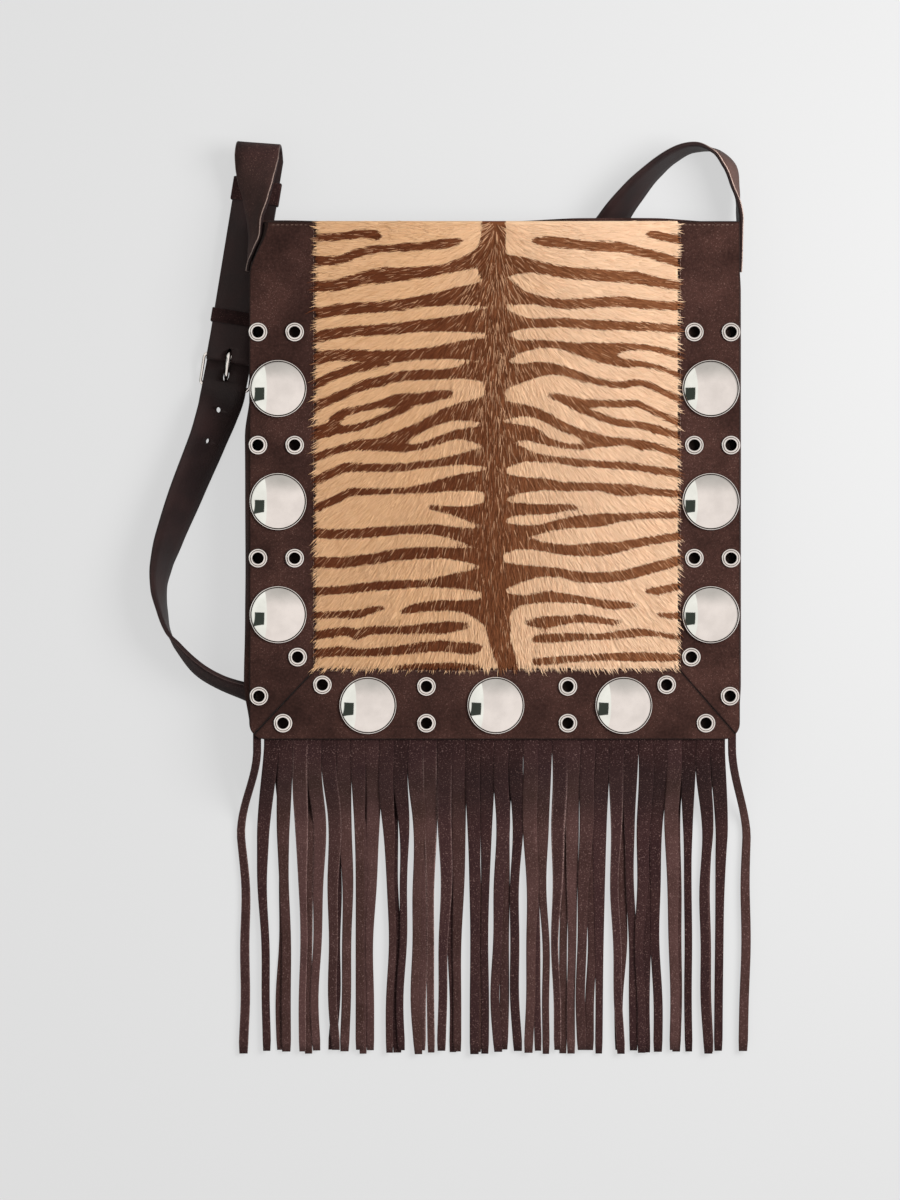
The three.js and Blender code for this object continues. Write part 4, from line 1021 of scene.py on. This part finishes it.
fringe_finish = fringe_suede()
bows = dict(enumerate(outer_bows))
front_places = []
for k in range(front_strands):
    from_right = front_strands - 1 - k
    front_places.append((first_strand + k * strand_pitch, 2.6 * (wander(k + 3.3) - 0.5),
                         bows.get(from_right, 0) - bows.get(k, 0),
                         strand_pitch + 0.4 if k and from_right else strand_width))
back_places = [(first_strand + (2 * k + 1.5) * strand_pitch, 1.6 * (wander(k + 40) - 0.5), 0,
                strand_width) for k in range(front_strands // 2 - 1)]
for comb_name, places, top_z, lay_z, drop, seed in (
    ("front", front_places, comb_top, front_lay, 50, 11),
    ("back", back_places, comb_top - strand_thickness - comb_gap, back_lay, 42, 71),
):
    points, faces, tones_and_painted_shade, rims = [], [], [], []
    for k, (x, apart, bow, top_width) in enumerate(places):
        rings = strand(x, apart, bow, top_width, seed + k, top_z, lay_z, drop, k % 2 * 1.25)
        more_points, more_faces = lofted(rings)
        faces += [tuple(i + len(points) for i in face) for face in more_faces]
        points += more_points.tolist()
        # Each strand has its own tone, and is painted darker near the seam: painted shade under the
        # border
        under_seam = np.clip((bottom - rings[:, :, 1]) / 40, 0, 1)
        tones_and_painted_shade.append(((0.1 + 0.9 * wander(seed * 3 + k)) * (0.15 + 0.85 * under_seam)).ravel())
        rims.append(np.tile(strand_rim, len(rings)) * (0.3 + 0.7 * wander(seed + k * 2.3)))
    comb = add_piece(f"{comb_name}_strands", points, faces, fringe_finish,
                     replaces=[f"fringe_{comb_name}"])
    write_on(comb, "shade", np.concatenate(tones_and_painted_shade))
    write_on(comb, "rim", np.concatenate(rims))

# ----------------------------------------------------------
# Long strap: one length of thick suede with a smooth dark inner face and painted edges. From its
# pointed tip it runs through the buckle, hangs in a loop on its edge, is folded over under the bag
# and comes out at the mouth, where it arches over to the tab on the right side.
# ----------------------------------------------------------
strap_width = 27.0
strap_thickness = 2.4
skived_thickness = 1.5
strap_edge = 0.55
strap_steps = 7
UP = np.array([0.0, 0.0, 1.0])


def unit(vector):
    return vector / np.linalg.norm(vector)


def on_curve(points, t, tension=None):
    """A place on the smooth curve through points. Without a tension it is a centripetal one."""
    last = len(points) - 1
    k = min(int(t * last), last - 1)
    w = t * last - k
    p1, p2 = points[k], points[k + 1]
    p0 = points[k - 1] if k > 0 else 2 * points[0] - points[1]
    p3 = points[k + 2] if k + 2 <= last else 2 * points[last] - points[last - 1]
    if tension is None:
        d0, d1, d2 = (max(float((b - a) @ (b - a)) ** 0.25, 1e-4)
                      for a, b in ((p0, p1), (p1, p2), (p2, p3)))
        t1 = ((p1 - p0) / d0 - (p2 - p0) / (d0 + d1) + (p2 - p1) / d1) * d1
        t2 = ((p2 - p1) / d1 - (p3 - p1) / (d1 + d2) + (p3 - p2) / d2) * d1
    else:
        t1, t2 = tension * (p2 - p0), tension * (p3 - p1)
    return (p1 + t1 * w + (-3 * p1 + 3 * p2 - 2 * t1 - t2) * w ** 2
            + (2 * p1 - 2 * p2 + t1 + t2) * w ** 3)


def ribbon_line(stations, steps):
    """Middle, across, outward normal, width and thickness along a run of leather. At lean 0 the
    inner face is up, at 90 the ribbon stands on edge and at 180 its outer face is up."""
    middles = [np.array(s[0], float) for s in stations]
    leans = [np.array([s[1], s[2] if len(s) > 2 else strap_width]) for s in stations]
    count = (len(stations) - 1) * steps
    line = []
    for i in range(count + 1):
        t = i / count
        heading = unit(on_curve(middles, min(t + 1e-4, 1)) - on_curve(middles, max(t - 1e-4, 0)))
        level = unit(np.cross(UP, heading))
        upright = np.cross(heading, level)
        lean, width = on_curve(leans, t, 0.3)
        across = level * math.cos(math.radians(lean)) - upright * math.sin(math.radians(lean))
        normal = -np.cross(heading, across)
        centre = on_curve(middles, t)
        low = min((centre + across * width / 2 * a + normal * strap_thickness / 2 * b)[2]
                  for a in (-1, 1) for b in (-1, 1))
        line.append((centre + UP * max(floor_gap - low, 0), across, normal, width, strap_thickness))
    return line


def ribbon_rings(line):
    """Rings round a ribbon: five points on its outer face, an edge, its inner face, an edge."""
    rings = []
    for centre, across, normal, width, thickness in line:
        half, thick = width / 2, thickness / 2
        edge = min(strap_edge, half * 0.6)
        flat = [-half + edge, -half * 0.5, 0, half * 0.5, half - edge]
        out, bend = half - edge * 0.2, thick * 0.6
        ring = [(s, thick) for s in flat] + [(out, bend), (half, 0), (out, -bend)]
        ring += [(s, -thick) for s in reversed(flat)] + [(-out, -bend), (-half, 0), (-out, bend)]
        rings.append([centre + across * s + normal * n for s, n in ring])
    return np.array(rings)


def strap_finishes():
    """Outer suede, smooth inner face and painted edge, in the order of the strap's faces."""
    outer = suede("strap_suede", (paint(29, 17, 16), paint(57, 36, 35), paint(138, 104, 93)),
                  mottle=34)
    inner, sockets, wire = new_finish("strap_inner_face", 0.6, 0.3)
    cloud = wire.noise(45.0, 5.0)
    place = wire.node("ShaderNodeTexCoord", out=3)
    pores = wire.node("ShaderNodeTexVoronoi", {"feature": "DISTANCE_TO_EDGE"},
                      {"Vector": place, "Scale": 900.0})
    feed(cloud.between(0.3, 0.72).mixed(paint(27, 16, 16), paint(43, 28, 27)), sockets["Base Color"])
    (pores.between(0.0, 0.25) + cloud).relief(0.35, 0.00012, sockets)
    feed(0.5 + cloud * 0.25, sockets["Roughness"])
    painted, sockets, wire = new_finish("painted_edge", 0.5, 0.4)
    cloud = wire.noise(700.0, 3.0)
    # The wear number paints the edge pale: worn edges, and painted light on the shoulder that faces
    # the lamp
    edge_wear_and_painted_light = (wire.written("rub") * 3.0).mixed(paint(66, 46, 43), paint(186, 160, 148))
    feed(cloud.between(0.2, 0.5).mixed(paint(46, 30, 29), edge_wear_and_painted_light), sockets["Base Color"])
    cloud.relief(0.3, 0.0002, sockets)
    return [outer, inner, painted]


strap_leathers = strap_finishes()
ring_sides = [0] * 4 + [2] + [1] * 10 + [2]


def add_strap(name, line, rub, **told):
    """A strap along a line, with more or less wear, and painted light, on each part of its length.
    """
    rings = ribbon_rings(line)
    points, faces = lofted(rings)
    piece = add_piece(name, points, faces, strap_leathers, **told)
    sides = ring_sides * (len(rings) - 1) + [2, 2]
    if len(sides) == len(piece.data.polygons):
        piece.data.polygons.foreach_set("material_index", sides)
    write_on(piece, "rub", np.repeat(rub, rings.shape[1]))
    return piece


# The buckle's place and the frame of the straight run through it
buckle_x, buckle_y = left - 13.9, mouth - 79.5
strap_heading = math.radians(-99.3)
along = np.array([math.cos(strap_heading), math.sin(strap_heading), 0.0])
across_strap = np.array([-along[1], along[0], 0.0])
heel_z, bar_thickness, heel_width, far_width = 8.2, 2.2, 3.0, 3.5
buckle_opening, buckle_side, buckle_ease, buckle_tilt = 15.5, 1.9, 0.6, math.radians(10.8)
turned_back, eye_gap, tip_gap, layer_gap = 38.0, 0.6, 0.7, 0.5
main_z = heel_z + floor_gap
eye_rise = bar_thickness / 2 + eye_gap + skived_thickness / 2
turned_z = heel_z - eye_rise
tip_z = turned_z - skived_thickness / 2 - tip_gap - strap_thickness / 2
raised_tip_z = main_z - strap_thickness - layer_gap
eye_reach = heel_width / 2 + eye_gap + skived_thickness / 2
far_distance = (heel_width + far_width) / 2 + buckle_opening
far_z = heel_z - far_distance * math.sin(buckle_tilt)
over_far_z = far_z + bar_thickness / 2 + strap_thickness / 2 + layer_gap
hole_distance = 11.7


def at_buckle(distance, z, side=0.0):
    return np.array([buckle_x, buckle_y, z]) + along * distance + across_strap * side


def resting(x, y, lean):
    """A station whose lower edge rests on the table."""
    turn = math.radians(lean)
    rise = abs(math.sin(turn)) * strap_width / 2 + abs(math.cos(turn)) * strap_thickness / 2
    return (x, y, floor_gap + rise), lean


low_run = bottom + 20.7
loop_drop = 210.8
loop_stretch = (buckle_y - low_run) / loop_drop
# Stations are a place, the ribbon's lean in degrees and its width where that isn't the strap's
tip_run = [(at_buckle(-118, raised_tip_z), 0, 10), (at_buckle(-112, raised_tip_z), 0, 21),
           (at_buckle(-104, raised_tip_z), 0), (at_buckle(-62, raised_tip_z), 0),
           (at_buckle(-turned_back - 3, tip_z), 0), (at_buckle(-turned_back + 5, tip_z), 0),
           (at_buckle(-20, tip_z), 0), (at_buckle(4, tip_z), 0),
           (at_buckle(hole_distance, tip_z + (over_far_z - tip_z) * 0.55), 0),
           (at_buckle(far_distance - far_width / 2, over_far_z + 0.15), 0),
           (at_buckle(far_distance + far_width, over_far_z + 0.3), 5)]
loop_run = [((left - 20.8, buckle_y - 34.2 * loop_stretch, 9.4), 27)]
loop_run += [resting(left - out, buckle_y - drop * loop_stretch, lean) for out, drop, lean in (
    (26.9, 51.2, 39), (39, 81.1, 46), (50.3, 111.5, 58), (54.8, 127.3, 68), (56.2, 140.6, 77),
    (53.9, 155.2, 85), (50.5, 167.3, 92), (44.4, 176.3, 100), (32, 189.8, 107), (18.6, 197.8, 108),
    (2.9, 203.5, 112), (-9.2, 207.2, 128), (-20.9, 210, 156), (-30.4, loop_drop, 178),
    (-36.4, loop_drop, 180))]
crease_radius = 1.5
crease = np.array([left + 63.5, low_run, floor_gap + strap_thickness / 2])
emergence = np.array([right - 74.7, mouth + 4, 0.0])
in_heading = np.array([1.0, 0.0, 0.0])
out_heading = unit((emergence - crease) * np.array([1, 1, 0]))
crease_line = unit(in_heading + out_heading)
crease_forward = np.array([crease_line[1], -crease_line[0], 0.0])
crease_lead, crease_tail = 25.0, 36.0
crease_steps = 8


def crease_row(distance_at):
    """A row across the folded strap: its place at both edges, wrapped round the crease."""
    ends = []
    for side in (-strap_width / 2, strap_width / 2):
        flat = in_heading * distance_at(side) + np.array([0, -side, 0])
        across = flat @ crease_forward
        angle = min(max(across / crease_radius, 0), math.pi)
        beyond = max(across - math.pi * crease_radius, 0)
        forward = min(across, 0) + crease_radius * math.sin(angle) - beyond
        ends.append((crease + crease_line * (flat @ crease_line) + crease_forward * forward
                     + UP * crease_radius * (1 - math.cos(angle)),
                     UP * math.cos(angle) - crease_forward * math.sin(angle)))
    (a, normal_a), (b, normal_b) = ends
    middle, normal = (a + b) / 2, unit(normal_a + normal_b)
    return middle, unit(b - a), normal, np.linalg.norm(b - a), strap_thickness


def bend_row(bend):
    """The row that has gone a distance round the crease."""
    return crease_row(lambda side: (bend + side * crease_forward[1]) / crease_forward[0])


crease_line_rows = [crease_row(lambda side: -crease_lead)]
crease_line_rows += [bend_row(math.pi * crease_radius * k / crease_steps)
                     for k in range(crease_steps + 1)]
crease_line_rows += [crease_row(lambda side: crease_tail)]


def past_crease(distance, height):
    return crease + crease_forward * math.pi * crease_radius + out_heading * distance + UP * height


right_tab_x = right + 0.3 + strap_thickness / 2
right_tab_z = (leather + front_under) / 2
tab_length = 29.0
folded_height = 2 * crease_radius
arch_run = [(past_crease(crease_tail + 2, folded_height), 0),
            (past_crease(crease_tail + 8, folded_height - 0.1), 0),
            (past_crease(crease_tail + 40, 0), 0), (past_crease(150, 0), 0)]
arch_run += [resting(right - inset, mouth + rise, lean) for inset, rise, lean in (
    (118.6, -77.2, 0), (99.6, -42.2, -14), (86.1, -16.7, -34), (74.7, 4, -53), (63.2, 19.4, -62),
    (50.4, 33, -72), (37.6, 42.8, -79), (25.1, 47.2, -88))]
arch_run += [((right - 12.6, mouth + 44.4, 14.8), -102), ((right - 4.8, mouth + 35.6, 16.2), -110),
             ((right - 1.6, mouth + 23, 17.2), -103), ((right + 0.8, mouth + 9.8, right_tab_z), -92)]
arch_run += [((right_tab_x, mouth + rise, right_tab_z), -90, width) for rise, width in (
    (3, 25), (-3, 22), (-tab_length * 0.6, 15), (-tab_length * 0.92, 8), (-tab_length, 3))]
long_line = (ribbon_line(tip_run + loop_run, strap_steps) + crease_line_rows
             + ribbon_line(arch_run, strap_steps))
to_the_end = len(long_line) - np.arange(len(long_line))
# Near its right end the strap is painted paler: wear, and painted light where the shoulder faces the
# lamp
arch_wear_and_painted_light = 0.7 * eased((64 - to_the_end) / 18)
long_piece = add_strap("shoulder_strap", long_line, arch_wear_and_painted_light, replaces=["long_strap"])

# ----------------------------------------------------------
# Short strap: the pointed tab on the left side turns to lie flat above the bag, folds over and
# runs back down to the buckle, where it is skived, wrapped round the heel bar and sewn down.
# ----------------------------------------------------------
left_tab_z = 23.5
tab_ease = 0.35


def left_tab(y, width, stand_off=0.0):
    pull = corner_pull * float(eased((y - mouth + pull_length) / pull_length))
    rise = front_under - pull_foot
    slant = math.atan2(pull, rise)
    offset = 0.3 + tab_ease + stand_off + strap_thickness / 2
    side_x = left + pull * (left_tab_z - pull_foot) / rise
    place = side_x - offset * math.cos(slant), y, left_tab_z + offset * math.sin(slant)
    return place, 270 - math.degrees(slant), width


fold_radius = 7.5
fold_steps, eye_steps = 18, 12
skive_start = 12
fold_top = main_z + 2 * fold_radius
fold_y = mouth + 40.9
back_run_start = (fold_y - buckle_y) / along[1]
fold_corner = np.array([left + 3.9, fold_y, fold_top])
tab_run = [left_tab(mouth - tab_length * share, width)
           for share, width in ((1, 3), (0.86, 8.5), (0.55, 15), (0.26, 18))]
tab_run += [left_tab(mouth + 0.5, 19, 0.8), ((left + 3.6, mouth + 13.8, left_tab_z - 0.1), 228, 24),
            ((left + 3.5, mouth + 26.3, left_tab_z - 0.1), 213),
            ((left + 3.6, mouth + 34.8, left_tab_z - 0.2), 197), (fold_corner, 182)]
short_line = ribbon_line(tab_run, strap_steps)
fold_end = at_buckle(back_run_start, main_z)
for k in range(1, fold_steps + 1):
    share, angle = k / fold_steps, math.pi * k / fold_steps
    across = unit(np.array([1.0, 0, 0]) * (1 - share) + across_strap * share)
    centre = fold_corner * (1 - share) + fold_end * share
    centre[1] = fold_y + fold_radius * math.sin(angle)
    centre[2] = main_z + fold_radius * (1 + math.cos(angle))
    normal = np.array([0, math.sin(angle), math.cos(angle)])
    normal = unit(normal - across * (normal @ across))
    short_line.append((centre, across, normal, strap_width, strap_thickness))


def straight_row(distance, z, normal, thickness):
    """A row of the short strap that lies square across the run through the buckle."""
    return at_buckle(distance, z), across_strap, normal, strap_width, thickness


for share in (*np.linspace(0.9, 0.1, 9), 0):
    distance = -skive_start + (back_run_start + skive_start) * share
    short_line.append(straight_row(distance, main_z, -UP, strap_thickness))
short_line.append(straight_row(-6, heel_z + eye_rise * 0.62, -UP, 1.86))
for k in range(eye_steps + 1):
    angle = math.pi * k / eye_steps
    normal = -UP * math.cos(angle) - along * math.sin(angle)
    short_line.append(straight_row(eye_reach * math.sin(angle), heel_z + eye_rise * math.cos(angle),
                                   normal, skived_thickness))
for distance in (-6, -turned_back):
    short_line.append(straight_row(distance, turned_z, UP, skived_thickness))
tab_wear = 0.22 * eased(2 - np.arange(len(short_line)) / (5 * strap_steps))
short_piece = add_strap("buckle_strap", short_line, tab_wear, replaces=["short_strap"])


def cut_through(piece, cutters):
    """Cuts shapes out of a piece and keeps the result as its mesh."""
    for points, faces in cutters:
        mesh = bpy.data.meshes.new("cutter")
        mesh.from_pydata((np.asarray(points) * MM).tolist(), [], faces)
        cutter = bpy.data.objects.new("cutter", mesh)
        bpy.context.scene.collection.objects.link(cutter)
        cut = piece.modifiers.new("cut", "BOOLEAN")
        cut.operation, cut.solver, cut.object = "DIFFERENCE", "EXACT", cutter
        bpy.context.view_layer.update()
        seen = piece.evaluated_get(bpy.context.evaluated_depsgraph_get())
        result = bpy.data.meshes.new_from_object(seen)
        piece.modifiers.remove(cut)
        piece.data = result
        bpy.data.objects.remove(cutter)


def rod(middle_at, axis, forward, half_long, half_wide, reach, sides=24):
    """An oval rod along an axis, to punch a hole with."""
    beside = np.cross(axis, forward)
    turns = [2 * math.pi * k / sides for k in range(sides)]
    rings = [[middle_at + axis * end + forward * half_long * math.cos(turn)
              + beside * half_wide * math.sin(turn) for turn in turns] for end in (-reach, reach)]
    return lofted(np.array(rings))


punched = []
hole_pitch = 22.0
long_middles = np.array([row[0] for row in long_line])
tip_middles = long_middles[:len(tip_run + loop_run) * strap_steps, :2]
for k in range(-2, 3):
    target = at_buckle(hole_distance + k * hole_pitch, 0)
    near = int(np.argmin(np.hypot(*(tip_middles - target[:2]).T)))
    run = unit(long_middles[near + 1] - long_middles[near - 1])
    half_long = 4.2 if k == 0 else 1.7
    punched.append(rod(long_middles[near], long_line[near][2], run, half_long, 1.7, 4.0))
cut_through(long_piece, punched)
cut_through(short_piece, [rod(at_buckle(0, heel_z), UP, along, 5.0, 1.7, 8.0)])

# ----------------------------------------------------------
# Keepers: two closed loops of thin suede that hold the strap's layers together. The upper one
# slides; the lower one sits close above the buckle.
# ----------------------------------------------------------
keeper_wall, keeper_ease = 0.8, 0.4


def keeper_loop(name, node, length, distance, low_z, high_z, body):
    half = strap_width / 2 + keeper_ease + keeper_wall / 2
    low = low_z - keeper_ease + 0.1 - keeper_wall / 2
    high = high_z + keeper_ease - 0.1 + keeper_wall / 2
    bend = 0.8
    end, bevel = length / 2, length / 2 - 0.3
    section = [(-end, 0), (-bevel, 0.5), (0, 0.5), (bevel, 0.5), (end, 0), (bevel, -0.5),
               (-bevel, -0.5)]
    rings = []
    for side_x, side_z, start in ((1, 1, 0), (-1, 1, 90), (-1, -1, 180), (1, -1, 270)):
        for k in range(5):
            angle = math.radians(start + 22.5 * k)
            side = side_x * (half - bend) + bend * math.cos(angle)
            z = (high - bend if side_z > 0 else low + bend) + bend * math.sin(angle)
            normal = across_strap * math.cos(angle) + UP * math.sin(angle)
            centre = at_buckle(-distance, z, side)
            rings.append([centre + along * a + normal * n * keeper_wall for a, n in section])
    points, faces = lofted(np.array(rings + rings[:1]), caps=False)
    return add_piece(name, points, faces, strap_leathers[0], body=body, replaces=[node])


main_top = main_z + strap_thickness / 2
keeper_loop("sliding_keeper", "upper_keeper", 14, 102, raised_tip_z - strap_thickness / 2, main_top,
            "keeper")
keeper_loop("fixed_keeper", "lower_keeper", 8.5, 24, tip_z - strap_thickness / 2, main_top, "bag")

# ----------------------------------------------------------
# Buckle: a small cast frame with rounded bars, plated like the studs, and a wire prong curled
# round its heel bar with the tip under the far bar.
# ----------------------------------------------------------


def rounded_loop(half_width, low, high, radius, count=9):
    loop = []
    side = half_width - radius
    for cx, cy, start in ((side, low + radius, -90), (side, high - radius, 0),
                          (-side, high - radius, 90), (-side, low + radius, 180)):
        for k in range(count):
            turn = math.radians(start + 90 * k / (count - 1))
            loop.append((cx + radius * math.cos(turn), cy + radius * math.sin(turn)))
    return np.array(loop)


half_width = strap_width / 2 + buckle_ease + buckle_side
outside = rounded_loop(half_width, -heel_width / 2, far_distance + far_width / 2, 4)
inside = rounded_loop(half_width - buckle_side, heel_width / 2, far_distance - far_width / 2, 0.8)
twelfths = np.linspace(0, 2 * math.pi, 13)[:-1]
bar_section = [(1 - (1 - math.cos(a)) / 2, math.sin(a)) for a in twelfths]
rings = []
tilt_cos, tilt_sin = math.cos(buckle_tilt), math.sin(buckle_tilt)
for out_at, in_at in zip(outside, inside):
    ring = []
    for share, rise in bar_section:
        squared = math.copysign(abs(rise) ** 0.55, rise) * bar_thickness / 2
        x, y = in_at * (1 - share) + out_at * share
        ring.append(at_buckle(y * tilt_cos + squared * tilt_sin,
                              heel_z - y * tilt_sin + squared * tilt_cos, -x))
    rings.append(ring)
points, faces = lofted(np.array(rings + rings[:1]), caps=False)
add_piece("buckle_ring", points, faces, bright, slot="metal", replaces=["buckle_frame"])

prong_radius, prong_flat = 0.9, 1.45
curl_reach = heel_width / 2 + eye_gap + prong_radius
curl_rise = bar_thickness / 2 + eye_gap + prong_radius
prong_tip_z = far_z - bar_thickness / 2 - 0.3 - prong_radius - 0.1
prong_path = [at_buckle(curl_reach * math.cos(a), heel_z + curl_rise * math.sin(a))
              for a in map(math.radians, (285, 260, 225, 190, 155, 120, 90))]
prong_path.append(at_buckle(curl_reach, heel_z + curl_rise * 0.82))
high_z = heel_z + curl_rise
prong_path.append(at_buckle(hole_distance, high_z + (prong_tip_z - high_z) * 0.66))
prong_path += [at_buckle(far_distance + far_width * r,
                         prong_tip_z - far_width * r * math.tan(buckle_tilt))
               for r in (-0.62, 0, 0.5)]
prong_steps = 60
rings = []
for t in np.linspace(0, 1, prong_steps + 1):
    centre = on_curve(prong_path, t)
    before, after = on_curve(prong_path, max(t - 0.001, 0)), on_curve(prong_path, min(t + 0.001, 1))
    heading = unit(after - before)
    upward = unit(np.cross(heading, across_strap))
    near_end = min(t, 1 - t) * prong_steps
    radius = prong_radius * (0.35 + 0.65 * math.sqrt(min(near_end / 1.5, 1)))
    rings.append([centre + (across_strap * math.cos(a) * prong_flat + upward * math.sin(a)) * radius
                  for a in twelfths])
points, faces = lofted(np.array(rings))
add_piece("prong_wire", points, faces, bright, body="prong", slot="metal",
          replaces=["buckle_prong"])
